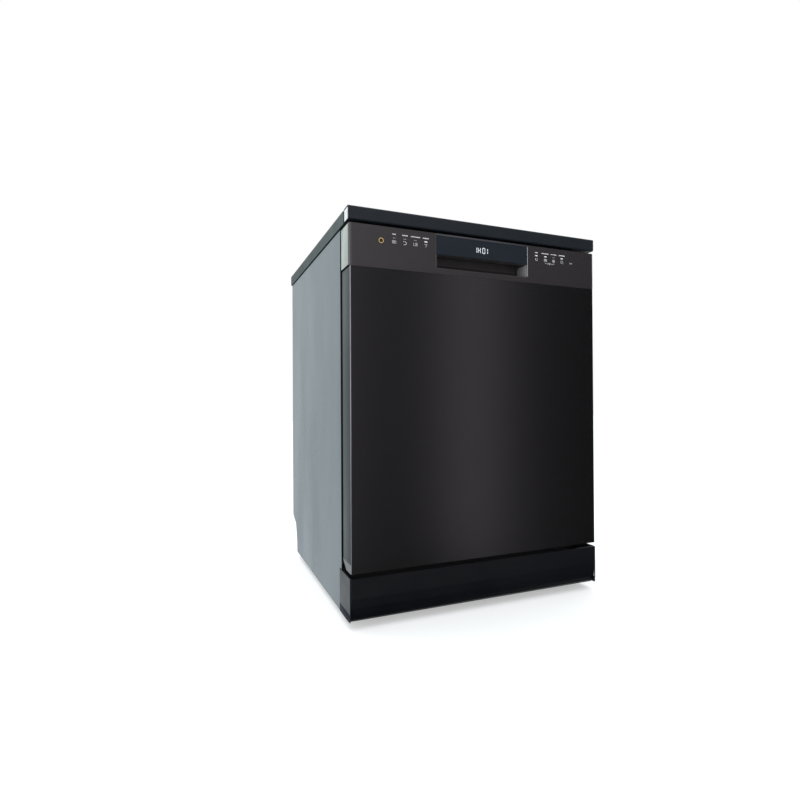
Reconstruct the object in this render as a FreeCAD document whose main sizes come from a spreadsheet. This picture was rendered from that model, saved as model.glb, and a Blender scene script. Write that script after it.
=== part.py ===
import FreeCAD, Part
import os
import Sketcher
from FreeCAD import Placement, Rotation, Vector

# Freestanding dishwasher that also builds in under a counter. Millimetres.
# +Z is up, the front faces -Y, and the origin is on the floor under the centre of the cabinet.

doc = FreeCAD.newDocument("Dishwasher")
sheet = doc.addObject("Spreadsheet::Sheet", "Dims")

DIMS = {
    "width": 598, "depth": 606, "height": 820, "foot_gap": 15,
    "top_thick": 27, "side_gap": 3, "skin": 0.8,
    "panel_low": 703.5, "panel_high": 786.5, "panel_back": -244,
    "door_low": 110.5, "door_high": 703.2, "door_back": -247, "door_half": 296,
    "hinge_y": -278, "hinge_z": 149, "hinge_pin": 4, "running": 0.05,
    "frame_front": -238, "tub_front": -235, "tub_back": 262, "tub_half": 279.5,
    "tub_low": 150, "tub_high": 772, "track_z": 181, "track_x": 240,
    "liner_front": -262, "liner_back": -246, "liner_half": 288,
    "handle_left": -113, "handle_right": 116, "handle_low": 714, "bar_low": 744,
    "sump_x": 60, "sump_y": 20, "sump_rad": 84, "arm_y": 10, "spindle": 6,
    "wheel_rad": 18, "wheel_z": 199.3, "wheel_front_y": -120, "wheel_rear_y": 180,
    "lower_half": 249, "lower_front": -222, "lower_back": 244, "lower_floor": 206, "lower_top": 330,
    "upper_half": 250, "upper_front": -224, "upper_back": 236, "upper_floor": 440, "upper_top": 600,
    "wire": 4, "rail_low": 515, "rail_high": 535, "kick_high": 101.3,
    "foot_x": 255, "foot_front": -180, "foot_rear": 200, "foot_rad": 18, "stem_rad": 5,
}


class Size:
    """A number together with the spreadsheet expression that gives it."""

    def __init__(self, value, text):
        self.value = value
        self.text = text

    def __add__(self, other):
        other = size(other)
        return Size(self.value + other.value, f"({self.text} + {other.text})")

    def __sub__(self, other):
        other = size(other)
        return Size(self.value - other.value, f"({self.text} - {other.text})")

    def __mul__(self, other):
        other = size(other)
        return Size(self.value * other.value, f"({self.text} * {other.text})")

    def __truediv__(self, other):
        other = size(other)
        return Size(self.value / other.value, f"({self.text} / {other.text})")

    def __neg__(self):
        return Size(-self.value, f"(0 - {self.text})")

    __radd__ = __add__
    __rmul__ = __mul__

    def __rsub__(self, other):
        return size(other) - self


def size(value):
    """Plain numbers become sizes with a constant expression."""
    if isinstance(value, Size):
        return value
    return Size(float(value), f"({float(value)!r})")


D = {}
for row, (alias, number) in enumerate(DIMS.items(), 1):
    sheet.set(f"A{row}", alias)
    sheet.set(f"B{row}", str(number))
    sheet.setAlias(f"B{row}", alias)
    D[alias] = Size(float(number), f"Dims.{alias}")
doc.recompute()

HALF_W = D["width"] / 2
HALF_D = D["depth"] / 2
FRONT = -HALF_D
SKIN = D["skin"]
SHELL_LOW = D["foot_gap"]
TOP_LOW = D["height"] - D["top_thick"]
SIDE_OUT = HALF_W - 2
SIDE_IN = SIDE_OUT - SKIN
SIDE_TOP = TOP_LOW - D["side_gap"]
PLANES = {"x": ("YZ_Plane", 1), "y": ("XZ_Plane", -1), "z": ("XY_Plane", 1)}
TURNS = {
    "x": Rotation(Vector(0, 1, 0), 90),
    "y": Rotation(Vector(1, 0, 0), -90),
    "z": Rotation(),
}


def bind(item, prop, value):
    """Give a property its expression, or its number when nothing in the sheet drives it."""
    value = size(value)
    if "Dims." in value.text or "." in prop:
        item.setExpression(prop, value.text)
    else:
        setattr(item, prop, value.value)


def place(item, at, axis="z"):
    """Turn an item's Z onto an axis and bind its position."""
    item.Placement = Placement(Vector(), TURNS[axis])
    for letter, value in zip("xyz", at):
        bind(item, f"Placement.Base.{letter}", value)


def fix(sketch, kind, where, value):
    """Add a dimensional constraint and bind it."""
    value = size(value)
    index = sketch.addConstraint(Sketcher.Constraint(kind, *where, value.value))
    if "Dims." in value.text:
        sketch.setExpression(f"Constraints[{index}]", value.text)


def draw(sketch, loop):
    """Draw one closed loop, fully dimensioned from the sketch's origin."""
    kind = loop[0]
    if kind == "circle":
        u, v, radius = (size(value) for value in loop[1:])
        circle = Part.Circle(Vector(u.value, v.value, 0), Vector(0, 0, 1), radius.value)
        index = sketch.addGeometry(circle, False)
        fix(sketch, "Radius", (index,), radius)
        fix(sketch, "DistanceX", (-1, 1, index, 3), u)
        fix(sketch, "DistanceY", (-1, 1, index, 3), v)
        return
    if kind == "box":
        u0, v0, u1, v1 = loop[1:]
        points = [(u0, v0), (u1, v0), (u1, v1), (u0, v1)]
    else:
        points = loop[1]
    points = [(size(u), size(v)) for u, v in points]
    first = sketch.GeometryCount
    total = len(points)
    for index, (u, v) in enumerate(points):
        next_u, next_v = points[(index + 1) % total]
        line = Part.LineSegment(Vector(u.value, v.value, 0), Vector(next_u.value, next_v.value, 0))
        sketch.addGeometry(line, False)
    for index, (u, v) in enumerate(points):
        after = first + (index + 1) % total
        sketch.addConstraint(Sketcher.Constraint("Coincident", first + index, 2, after, 1))
    for index, (u, v) in enumerate(points):
        fix(sketch, "DistanceX", (-1, 1, first + index, 1), u)
        fix(sketch, "DistanceY", (-1, 1, first + index, 1), v)


class Piece:
    """A PartDesign body made from pads and pockets that run along a main axis."""

    def __init__(self, name):
        self.body = doc.addObject("PartDesign::Body", name)
        self.body.Label = name
        self.count = 0

    def add(self, kind):
        self.count += 1
        return self.body.newObject(kind, f"{self.body.Name}_{self.count}")

    def sketch(self, axis, at, loops):
        role, sense = PLANES[axis]
        sketch = self.add("Sketcher::SketchObject")
        plane = [item for item in self.body.Origin.OriginFeatures if item.Role == role][0]
        sketch.AttachmentSupport = (plane, [""])
        sketch.MapMode = "FlatFace"
        bind(sketch, "AttachmentOffset.Base.z", size(at) * sense)
        for loop in loops:
            draw(sketch, loop)
        return sketch

    def run(self, kind, axis, loops, low, high):
        """The XZ plane faces -Y, so a run along Y starts from its high end."""
        low, high = size(low), size(high)
        sketch = self.sketch(axis, high if axis == "y" else low, loops)
        feature = self.add(kind)
        feature.Profile = sketch
        bind(feature, "Length", high - low)
        return feature

    def pad(self, axis, loops, low, high):
        return self.run("PartDesign::Pad", axis, loops, low, high)

    def pocket(self, axis, loops, low, high):
        """Reversed makes the cut run along the sketch's normal, as a pad does."""
        feature = self.run("PartDesign::Pocket", axis, loops, low, high)
        feature.Reversed = True
        return feature

    def grid(self, pocket, pitch_u, count_u, pitch_v, count_v):
        """Repeat a pocket in the two directions of its own sketch."""
        doc.recompute()
        pattern = self.add("PartDesign::LinearPattern")
        pattern.Originals = [pocket]
        pattern.Direction = (pocket.Profile[0], ["H_Axis"])
        bind(pattern, "Length", size(pitch_u) * (count_u - 1))
        pattern.Occurrences = count_u
        if count_v > 1:
            pattern.Direction2 = (pocket.Profile[0], ["V_Axis"])
            bind(pattern, "Length2", size(pitch_v) * (count_v - 1))
            pattern.Occurrences2 = count_v
        self.body.Tip = pattern

    def fillet(self, radius, test):
        """Round every edge that passes the test."""
        doc.recompute()
        base = self.body.Tip
        names = [f"Edge{n}" for n, edge in enumerate(base.Shape.Edges, 1) if test(edge)]
        feature = self.add("PartDesign::Fillet")
        feature.Base = (base, names)
        bind(feature, "Radius", radius)
        doc.recompute()


def runs_along(edge, axis, **near):
    """True for a straight edge along an axis whose middle is at the given coordinates."""
    box = edge.BoundBox
    spans = {"x": box.XLength, "y": box.YLength, "z": box.ZLength}
    if any(spans[letter] > 0.01 for letter in "xyz" if letter != axis):
        return False
    middle = box.Center
    return all(abs(getattr(middle, letter) - size(value).value) < 0.6 for letter, value in near.items())


def box(name, low, high):
    item = doc.addObject("Part::Box", name)
    item.Label = name
    for prop, start, end in zip(("Length", "Width", "Height"), low, high):
        bind(item, prop, size(end) - start)
    place(item, low)
    return item


def cylinder(name, at, radius, length, axis="z"):
    item = doc.addObject("Part::Cylinder", name)
    item.Label = name
    bind(item, "Radius", radius)
    bind(item, "Height", length)
    place(item, at, axis)
    return item


def join(name, kind, items):
    """A fused, compounded or cut item: the first is the base of a cut."""
    item = doc.addObject(f"Part::{kind}", name)
    item.Label = name
    if kind == "Cut":
        item.Base, item.Tool = items
    elif kind == "Compound":
        item.Links = items
    else:
        item.Shapes = items
    return item


def pair(name, make):
    """A left and a right piece in one node: make(prefix, sign) builds each."""
    return join(name, "Compound", [make(f"{name}_l", -1), make(f"{name}_r", 1)])


def span(sign, inner, outer):
    """An X range on one side of the cabinet, low end first."""
    inner, outer = size(inner), size(outer)
    return (-outer, -inner) if sign < 0 else (inner, outer)


def lattice(name, axis, loop, low, high, count_u, count_v):
    """A welded wire panel, as a plate with a grid of windows."""
    u0, v0, u1, v1 = (size(value) for value in loop)
    wire = D["wire"]
    pitch_u = (u1 - u0 - wire) / count_u
    pitch_v = (v1 - v0 - wire) / count_v
    piece = Piece(name)
    piece.pad(axis, [("box", u0, v0, u1, v1)], low, high)
    window = ("box", u0 + wire, v0 + wire, u0 + pitch_u, v0 + pitch_v)
    pocket = piece.pocket(axis, [window], size(low) - 1, size(high) + 1)
    piece.grid(pocket, pitch_u, count_u, pitch_v, count_v)
    return piece.body


def comb(name, axis, low_u, high_u, count, base, root, tip, low, high, tine=3):
    """A row of upright tines on a bar."""
    low_u, high_u = size(low_u), size(high_u)
    pitch = (high_u - low_u - tine) / (count - 1)
    points = [(low_u, base), (high_u, base)]
    for index in range(count - 1, -1, -1):
        left = low_u + pitch * index
        points += [(left + tine, root), (left + tine, tip), (left, tip), (left, root)]
    points = [point for n, point in enumerate(points) if n not in (2, len(points) - 1)]
    piece = Piece(name)
    piece.pad(axis, [("path", points)], low, high)
    return piece.body


# Worktop -------------------------------------------------------------------
top = Piece("worktop")
top.pad("z", [("box", -HALF_W, FRONT + 33, HALF_W, HALF_D)], TOP_LOW, D["height"])
top.pocket("z", [("box", -HALF_W - 1, FRONT + 32, HALF_W + 1, FRONT + 38)], D["height"] - 2, D["height"] + 1)
top.fillet(1.5, lambda edge: runs_along(edge, "y", z=D["height"]))

trim = Piece("worktop_front_trim")
trim.pad("z", [("box", -HALF_W + 2.5, FRONT, HALF_W - 2.5, FRONT + 32.8)], TOP_LOW, D["height"])
trim.fillet(3, lambda edge: runs_along(edge, "x", y=FRONT))


def end_cap(name, sign):
    cap = Piece(name)
    low, high = span(sign, HALF_W - 2.4, HALF_W)
    cap.pad("x", [("box", FRONT, TOP_LOW, FRONT + 30, D["height"])], low, high)
    cap.fillet(3, lambda edge: runs_along(edge, "x", y=FRONT))
    return cap.body


pair("worktop_end_caps", end_cap)


# Side, rear and base ---------------------------------------------------------
def side_panel(name, sign):
    """Outer skin with the stepped front, the rear foot notch and folded front and rear flanges."""
    rear = HALF_D - 9
    outline = [
        (FRONT + 77, SHELL_LOW), (232, SHELL_LOW), (234, SHELL_LOW + 32), (251, SHELL_LOW + 77),
        (rear - 5, SHELL_LOW + 92), (rear, SHELL_LOW + 97), (rear, SIDE_TOP),
        (D["frame_front"], SIDE_TOP), (D["frame_front"], 103), (FRONT + 77, 103),
    ]
    panel = Piece(name)
    low, high = span(sign, SIDE_IN, SIDE_OUT)
    panel.pad("x", [("path", outline)], low, high)
    low, high = span(sign, SIDE_IN - 14, SIDE_IN + 0.5)
    front = D["frame_front"] + 3.2
    panel.pad("z", [("box", low, front, high, front + SKIN)], 112, SIDE_TOP)
    panel.pad("z", [("box", low, rear - SKIN, high, rear)], SHELL_LOW + 100, SIDE_TOP)


side_panel("left_side_panel", -1)
side_panel("right_side_panel", 1)

rear_panel = Piece("rear_panel")
rear_panel.pad("y", [("box", -SIDE_IN + 0.2, 116, SIDE_IN - 0.2, SIDE_TOP)], HALF_D - 10.7 - SKIN, HALF_D - 10.7)

base = Piece("base_tray")
base.pad("z", [("box", -SIDE_IN + 1, FRONT + 79, SIDE_IN - 1, 228)], SHELL_LOW, 100)
base.pocket("z", [("box", -SIDE_IN + 3.5, FRONT + 81.5, SIDE_IN - 3.5, 225.5)], SHELL_LOW + 2.5, 101)
FEET = [
    ("front_left", -D["foot_x"], D["foot_front"]), ("front_right", D["foot_x"], D["foot_front"]),
    ("rear_left", -D["foot_x"], D["foot_rear"]), ("rear_right", D["foot_x"], D["foot_rear"]),
]
base.pad("z", [("circle", x, y, 12) for _, x, y in FEET], SHELL_LOW + 1, 62)
base.pocket("z", [("circle", x, y, D["stem_rad"] + D["running"]) for _, x, y in FEET], SHELL_LOW - 1, 63)

for place_name, x, y in FEET:
    foot = Piece(f"foot_{place_name}")
    foot.pad("z", [("circle", x, y, D["foot_rad"])], 0, 9)
    foot.pad("z", [("path", [(x + du, y + dv) for du, dv in
                             ((9, 0), (4.5, 7.8), (-4.5, 7.8), (-9, 0), (-4.5, -7.8), (4.5, -7.8))])], 8, 14)
    foot.pad("z", [("circle", x, y, D["stem_rad"])], 13, 82)

kick = Piece("kick_plate")
KICK_FACE = [(0, D["kick_high"]), (0, 62), (1.5, 44), (4.5, 30), (9, 20.5), (15, SHELL_LOW)]
kick.pad("x", [("path", [(FRONT + dy, z) for dy, z in KICK_FACE]
                + [(FRONT + 77, SHELL_LOW), (FRONT + 77, D["kick_high"])])], -HALF_W + 1.5, HALF_W - 1.5)
kick.pocket("x", [("path", [(FRONT + 2.5 + dy, z + (0 if z is not D["kick_high"] else 1)) for dy, z in KICK_FACE]
                   + [(FRONT + 17.5, SHELL_LOW - 1), (FRONT + 78, SHELL_LOW - 1),
                      (FRONT + 78, D["kick_high"] + 1)])], -HALF_W + 4, HALF_W - 4)
kick.fillet(4, lambda edge: runs_along(edge, "z", y=FRONT) and edge.Length > 20 and abs(edge.BoundBox.Center.x) > 297)

# Tub -------------------------------------------------------------------------
TUB = D["tub_half"]
wrap = Piece("tub_wrap")
wrap.pad("y", [("path", [
    (-TUB - SKIN, D["tub_low"] - 4), (-TUB - SKIN, D["tub_high"] + SKIN), (TUB + SKIN, D["tub_high"] + SKIN),
    (TUB + SKIN, D["tub_low"] - 4), (TUB, D["tub_low"] - 4), (TUB, D["tub_high"]),
    (-TUB, D["tub_high"]), (-TUB, D["tub_low"] - 4)])], D["tub_front"], D["tub_back"])

rear_wall = Piece("tub_rear_wall")
rear_wall.pad("y", [("box", -TUB - SKIN, D["tub_low"] - 4, TUB + SKIN, D["tub_high"] + SKIN)],
              D["tub_back"], D["tub_back"] + SKIN)

TRACK_X, TRACK_Z, FLOOR = D["track_x"], D["track_z"], D["tub_low"]
SALT = (-185, -150)
FLOAT = (190, -170)
floor = Piece("tub_floor")
floor.pad("y", [("path", [
    (-TUB, TRACK_Z), (-TRACK_X, TRACK_Z), (-TRACK_X, FLOOR), (TRACK_X, FLOOR), (TRACK_X, TRACK_Z),
    (TUB, TRACK_Z), (TUB, TRACK_Z - SKIN), (TRACK_X + SKIN, TRACK_Z - SKIN), (TRACK_X + SKIN, FLOOR - SKIN),
    (-TRACK_X - SKIN, FLOOR - SKIN), (-TRACK_X - SKIN, TRACK_Z - SKIN), (-TUB, TRACK_Z - SKIN)])],
    D["tub_front"], D["tub_back"])
floor.pocket("z", [("circle", D["sump_x"], D["sump_y"], D["sump_rad"] + 0.5), ("circle", *SALT, 31),
                   ("circle", *FLOAT, 5.05)], FLOOR - 10, FLOOR + 5)

frame = Piece("tub_front_frame")
frame.pad("y", [("box", -SIDE_IN + 0.3, 118, SIDE_IN - 0.3, SIDE_TOP - 2),
                ("box", -TUB, TRACK_Z - 1, TUB, D["tub_high"])], D["frame_front"], D["tub_front"])

gasket = Piece("tub_gasket")
gasket.pad("y", [("path", [
    (-291, 174), (-291, 783.5), (291, 783.5), (291, 174), (282, 174), (282, 776), (-282, 776), (-282, 174)])],
    D["liner_back"] + 0.1, D["frame_front"] - 0.1)
gasket.fillet(2.5, lambda edge: edge.BoundBox.YLength < 0.01 and edge.BoundBox.Center.y < -245 and edge.Length > 300)

SUMP = (D["sump_x"], D["sump_y"])
sump = Piece("sump")
sump.pad("z", [("circle", *SUMP, D["sump_rad"] + 3)], 64, FLOOR - SKIN - 0.1)
sump.pocket("z", [("circle", *SUMP, D["sump_rad"])], 68, FLOOR)
sump.pad("z", [("circle", 0, D["arm_y"], 11)], 67, FLOOR - 4)

FILTER = (100, 25)
plate = Piece("filter_plate")
plate.pad("z", [("circle", *SUMP, D["sump_rad"] - 0.5), ("circle", *FILTER, 40.5),
                ("circle", 0, D["arm_y"], 14.2)], FLOOR - 3, FLOOR - 1)

filter_tube = Piece("filter_cylinder")
filter_tube.pad("z", [("circle", *FILTER, 40), ("circle", *FILTER, 37)], 80, FLOOR + 3)
filter_tube.pad("z", [("circle", *FILTER, 38)], 78, 81)
filter_tube.pad("z", [("box", 62, 22, 138, 28)], FLOOR + 2, FLOOR + 12)

join("circulation_pump", "MultiFuse", [
    cylinder("pump_motor", (-150, 20, 95), 40, 92, "x"),
    cylinder("pump_volute", (-58, 20, 95), 48, 24, "x"),
    cylinder("pump_end", (-158, 20, 95), 14, 10, "x"),
])
join("drain_pump", "Compound", [
    join("drain_motor_group", "MultiFuse", [
        cylinder("drain_motor", (152, 20, 90), 24, 52, "x"),
        box("drain_magnet", (170, -14, 40), (196, 54, 66.5)),
        box("drain_core", (172, 10, 60), (194, 30, 70)),
    ]),
    join("drain_outlet_group", "MultiFuse", [
        cylinder("drain_flange", (215, 228.2, 65), 17, 6, "y"),
        cylinder("drain_spigot", (215, 232, 65), 9.5, 40, "y"),
    ]),
])

softener = Piece("water_softener")
softener.pad("z", [("box", -240, -200, -110, -60)], 30, 128)
softener.pad("z", [("circle", *SALT, 30.4)], 127, FLOOR + 2)
softener.pocket("z", [("circle", *SALT, 25)], 60, FLOOR + 3)

salt = Piece("salt_cap")
salt.pad("z", [("circle", *SALT, 32)], FLOOR + 2.1, FLOOR + 12)
salt.pad("z", [("box", SALT[0] - 28, SALT[1] - 4, SALT[0] + 28, SALT[1] + 4)], FLOOR + 11, FLOOR + 19)
salt.pad("z", [("circle", *SALT, 24.9)], FLOOR - 8, FLOOR + 3)

float_cup = Piece("float_cup")
float_cup.pad("z", [("circle", *FLOAT, 16)], FLOOR + 0.1, FLOOR + 22)
float_cup.pocket("z", [("circle", *FLOAT, 14)], FLOOR, FLOOR + 19)
float_cup.pad("z", [("circle", *FLOAT, 5)], FLOOR - 32, FLOOR + 20)

feed = Piece("spray_feed_pipe")
PIPE_BACK = D["tub_back"] - 0.1
feed.pad("z", [("box", -14, D["arm_y"], 14, PIPE_BACK)], FLOOR + 0.1, FLOOR + 12)
feed.pad("z", [("circle", 0, D["arm_y"], 13.5)], FLOOR + 0.1, FLOOR + 15)
feed.pad("z", [("box", -17, PIPE_BACK - 12, 17, PIPE_BACK)], FLOOR + 0.1, D["tub_high"] - 0.1)
feed.pad("z", [("box", -14, D["arm_y"] - 14, 14, PIPE_BACK)], D["tub_high"] - 7, D["tub_high"] - 0.1)
feed.pad("y", [("circle", 0, 437, 12)], PIPE_BACK - 12.5, PIPE_BACK - 3)
feed.pad("z", [("circle", 0, D["arm_y"], D["spindle"])], FLOOR + 14, FLOOR + 29)
feed.pad("z", [("circle", 0, D["arm_y"], D["spindle"])], D["tub_high"] - 27, D["tub_high"] - 6)


def spray_arm(name, y, low, reach, hub, width, thick=11):
    """A two-ended arm with a bored hub and rows of jets along its top."""
    arm = Piece(name)
    arm.pad("z", [("path", [(-reach, y - width * 0.55), (-hub, y - width), (hub, y - width),
                            (reach, y - width * 0.55), (reach, y + width * 0.55), (hub, y + width),
                            (-hub, y + width), (-reach, y + width * 0.55)])], low, low + thick)
    arm.fillet(width * 0.5, lambda edge: runs_along(edge, "z") and abs(edge.BoundBox.Center.x) > reach - 1)
    arm.pocket("z", [("circle", 0, y, D["spindle"] + D["running"])], low - 1, low + thick + 1)
    jets = [("circle", sign * (hub + 14 + step * (reach - hub - 30) / 5), y + (step % 2 * 2 - 1) * 5, 1.8)
            for sign in (-1, 1) for step in range(6)]
    arm.pocket("z", jets, low + thick - 3, low + thick + 1)


ARM_Y = D["arm_y"].value
spray_arm("lower_spray_arm", ARM_Y, 168, 222, 34, 24)
spray_arm("top_spray_arm", ARM_Y, 752, 140, 26, 17)

join("air_break", "MultiFuse", [
    box("air_break_case", (-SIDE_IN + 1, -140, 300), (-TUB - SKIN - 1, 150, 610)),
    box("air_break_neck", (-SIDE_IN + 2, 60, 120), (-TUB - SKIN - 2, 90, 305)),
])

pair("hinge_brackets", lambda name, sign: join(name, "MultiFuse", [
    box(name + "_bar", (span(sign, 288.6, 290.6)[0], D["hinge_y"] - 8, D["hinge_z"] - 8),
        (span(sign, 288.6, 290.6)[1], D["frame_front"] - 0.1, D["hinge_z"] + 8)),
    cylinder(name + "_pin", (span(sign, 288.8, 294.2)[0], D["hinge_y"], D["hinge_z"]), D["hinge_pin"], 5.4, "x"),
]))

join("door_strike", "MultiFuse", [
    box("strike_tongue", (-10, -256, 764), (10, D["frame_front"] + 4, 768)),
    box("strike_foot", (-24, D["frame_front"] + 3.2, 760), (24, D["frame_front"] + 8, D["tub_high"] - 0.2)),
])

pair("rail_outer", lambda name, sign: box(
    name, (span(sign, 269, TUB - 0.1)[0], D["upper_front"], D["rail_low"]),
    (span(sign, 269, TUB - 0.1)[1], D["upper_back"], D["rail_high"])))

# Services at the rear --------------------------------------------------------
join("inlet_valve", "MultiFuse", [
    box("valve_body", (-262, 228.2, 45), (-222, 262, 85)),
    cylinder("valve_thread", (-242, 260, 65), 13.2, 22, "y"),
])
gland = Piece("mains_gland")
gland.pad("y", [("box", -30, 45, 30, 80)], 228.2, 248)
gland.pad("y", [("circle", 0, 62, 9)], 247, 262)
gland.pocket("y", [("circle", 0, 62, 4.5)], 238, 263)

# Door ------------------------------------------------------------------------
door = Piece("door_outer_panel")
DOOR = D["door_half"]
door.pad("x", [("path", [
    (FRONT, D["door_low"]), (D["hinge_y"] + 8, D["door_low"]), (D["door_back"], 127),
    (D["door_back"], D["door_high"]), (FRONT, D["door_high"])])], -DOOR, DOOR)
door.pocket("y", [("box", -DOOR + SKIN, D["door_low"] + SKIN, DOOR - SKIN, D["door_high"] + 1)],
            FRONT + SKIN, D["door_back"] + 1)
door.pocket("z", [("box", -DOOR + SKIN, FRONT + 3, -287.5, -260), ("box", 287.5, FRONT + 3, DOOR - SKIN, -260)],
            D["door_low"] - 1, D["door_low"] + SKIN + 1)
door.fillet(2, lambda edge: runs_along(edge, "z", y=FRONT) and edge.Length > 500)

panel = Piece("control_panel")
PANEL = HALF_W - 1.5
H0, H1 = D["handle_left"], D["handle_right"]
LAMPS = [-204, -181, -158, -134.7, 137, 161.7, 183.8, 206.9]
LAMP_Z = 766
RING = (-231.5, 758.2)
panel.pad("z", [("box", -PANEL, FRONT, PANEL, D["panel_back"])], D["panel_low"], D["panel_high"])
panel.fillet(5, lambda edge: runs_along(edge, "z", y=FRONT))
panel.pocket("y", [("box", -PANEL + 2.5, D["panel_low"] - 1, PANEL - 2.5, D["panel_high"] - 2.5)],
             FRONT + 2.5, D["panel_back"] + 1)
panel.pocket("y", [("box", H0, D["handle_low"] - 0.5, H1, D["panel_high"] + 1)], FRONT - 1, FRONT + 2.6)
panel.pocket("y", [("box", x - 3.3, LAMP_Z - 1, x + 3.3, LAMP_Z + 1) for x in LAMPS]
             + [("circle", *RING, 5.6)], FRONT - 1, FRONT + 1)

join("indicator_lights", "Compound", [
    box(f"lens_{n}", (x - 3.2, FRONT, LAMP_Z - 0.9), (x + 3.2, FRONT + 0.9, LAMP_Z + 0.9))
    for n, x in enumerate(LAMPS)]
    + [cylinder("power_light", (RING[0], FRONT, RING[1]), 5.5, 0.9, "y")])

pocket = Piece("handle_pocket")
FACE = FRONT + 1.5
pocket.pad("x", [("path", [
    (FRONT + 2.7, 711.2), (-272, 711.2), (-257.6, 727), (-257.6, 783.6), (FRONT + 2.7, 783.6)])], H0 - 2.5, H1 + 2.5)
pocket.pad("y", [("box", H0 + 1.3, D["handle_low"] - 0.3, H1 - 1.3, D["panel_high"] - 3.2)], FACE, FRONT + 3)
pocket.pocket("x", [("path", [
    (FRONT - 1, 716), (-275, 716), (-266, 722), (-260, 733), (-260, 768), (-266, 777),
    (-275, 780), (-283, 780), (-283, D["bar_low"]), (FRONT - 1, D["bar_low"])])], H0 + 3.5, H1 - 3.5)

window = Piece("display_window")
window.pad("y", [("box", H0 + 1.4, D["bar_low"], H1 - 1.4, D["panel_high"] - 3.3)], FRONT, FACE - 0.1)

bezel = Piece("handle_bezel")
bezel.pad("y", [("path", [
    (H0 + 0.1, D["handle_low"]), (H0 + 1.2, D["handle_low"]), (H0 + 1.2, D["panel_high"] - 3.1),
    (H1 - 1.2, D["panel_high"] - 3.1), (H1 - 1.2, D["handle_low"]), (H1 - 0.1, D["handle_low"]),
    (H1 - 0.1, D["panel_high"] - 0.1), (H0 + 0.1, D["panel_high"] - 0.1)])], FRONT, FRONT + 2.5)

LINER = D["liner_half"]
liner = Piece("door_liner")
CUP = (-80, 420, 80, 560)
liner.pad("y", [("box", -LINER, 127, LINER, 780)], D["liner_front"], D["liner_back"])
liner.pocket("y", [("box", -TRACK_X + 2, 200, TRACK_X - 2, 700)], D["liner_front"] + SKIN, D["liner_back"] + 1)
liner.pocket("y", [("box", -LINER + SKIN, 127 + SKIN, LINER - SKIN, 780 - SKIN),
                   ("box", -TRACK_X + 2 - SKIN, 200 - SKIN, TRACK_X - 2 + SKIN, 700 + SKIN)],
             D["liner_front"] - 1, D["liner_back"] - SKIN)
liner.pocket("y", [("box", CUP[0], CUP[1], CUP[2], CUP[3]), ("box", -13, 760, 13, 772)],
             D["liner_front"] - 1, D["liner_back"] + 1)

liner.pocket("y", [("box", H0 - 4, 778, H1 + 4, 781)], D["liner_front"] - 1, -256.8)

box("door_insulation", (-283, FRONT + 4, 205), (283, FRONT + 18, 699))

latch = Piece("door_latch")
latch.pad("y", [("box", -34, 753, 34, 777)], -257.4, D["liner_back"] - SKIN - 0.1)
latch.pocket("y", [("box", -13, 760, 13, 772)], -257, D["liner_back"])

box("lower_door_seal", (-236, D["liner_back"] + 0.1, 158), (236, -240, 166))


def hinge_arm(name, sign):
    """Plate that carries the door on its pin, between the liner's edge and the outer skin."""
    arm = Piece(name)
    y, z = D["hinge_y"], D["hinge_z"]
    low, high = span(sign, 291, 294)
    arm.pad("x", [("path", [(y - 12, z - 12), (y + 12, z - 12), (y + 12, z + 30), (y + 2, z + 190),
                            (y - 12, z + 190)])], low, high)
    arm.pocket("x", [("circle", y, z, D["hinge_pin"] + D["running"])], low - 1, high + 1)
    return arm.body


pair("hinge_arms", hinge_arm)

dispenser = Piece("detergent_dispenser")
DISH = D["liner_front"] + 2.5
dispenser.pad("y", [("box", CUP[0] + 0.4, CUP[1] + 0.4, CUP[2] - 0.4, CUP[3] - 0.4)], -283, DISH)
dispenser.pocket("y", [("box", -68, 476, -6, 544)], -279, DISH + 1)
lid = Piece("dispenser_lid")
lid.pad("y", [("box", -73, 471, -1, 549)], DISH + 0.1, DISH + 3)
lid.pad("y", [("box", -66, 506, -58, 514)], DISH + 2.5, DISH + 6)
rinse = Piece("rinse_aid_cap")
rinse.pad("y", [("circle", -37, 446, 17)], DISH + 0.1, DISH + 4)
rinse.pad("y", [("box", -50, 443, -24, 449)], DISH + 3.5, DISH + 7)

# Upper rack ------------------------------------------------------------------
UH, UF, UB, UZ, UT = (D[key] for key in ("upper_half", "upper_front", "upper_back", "upper_floor", "upper_top"))
WIRE = D["wire"]
join("upper_rack", "Compound", [
    lattice("upper_floor_grid", "z", (-UH + 4.2, UF + 4.2, UH - 4.2, UB - 4.2), UZ, UZ + WIRE, 11, 10),
    lattice("upper_left_grid", "x", (UF + 4.2, UZ, UB - 4.2, UT - 30), -UH, -UH + WIRE, 10, 3),
    lattice("upper_right_grid", "x", (UF + 4.2, UZ, UB - 4.2, UT - 30), UH - WIRE, UH, 10, 3),
    lattice("upper_front_grid", "y", (-UH, UZ, UH, UT - 30), UF, UF + WIRE, 11, 3),
    lattice("upper_back_grid", "y", (-UH, UZ, UH, UT - 30), UB - WIRE, UB, 11, 3),
    comb("upper_tines_left", "x", UF + 30, UB - 30, 15, UZ + 4.2, UZ + 8, UZ + 60, -112, -109),
    comb("upper_tines_right", "x", UF + 30, UB - 30, 15, UZ + 4.2, UZ + 8, UZ + 60, 109, 112),
    box("rail_inner_l", (-257, UF, D["rail_low"] + 3), (-UH - 0.3, UB, D["rail_high"] - 3)),
    box("rail_inner_r", (UH + 0.3, UF, D["rail_low"] + 3), (257, UB, D["rail_high"] - 3)),
])
pair("rail_middle", lambda name, sign: box(
    name, (span(sign, 258, 268)[0], UF, D["rail_low"] + 2), (span(sign, 258, 268)[1], UB, D["rail_high"] - 2)))


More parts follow.
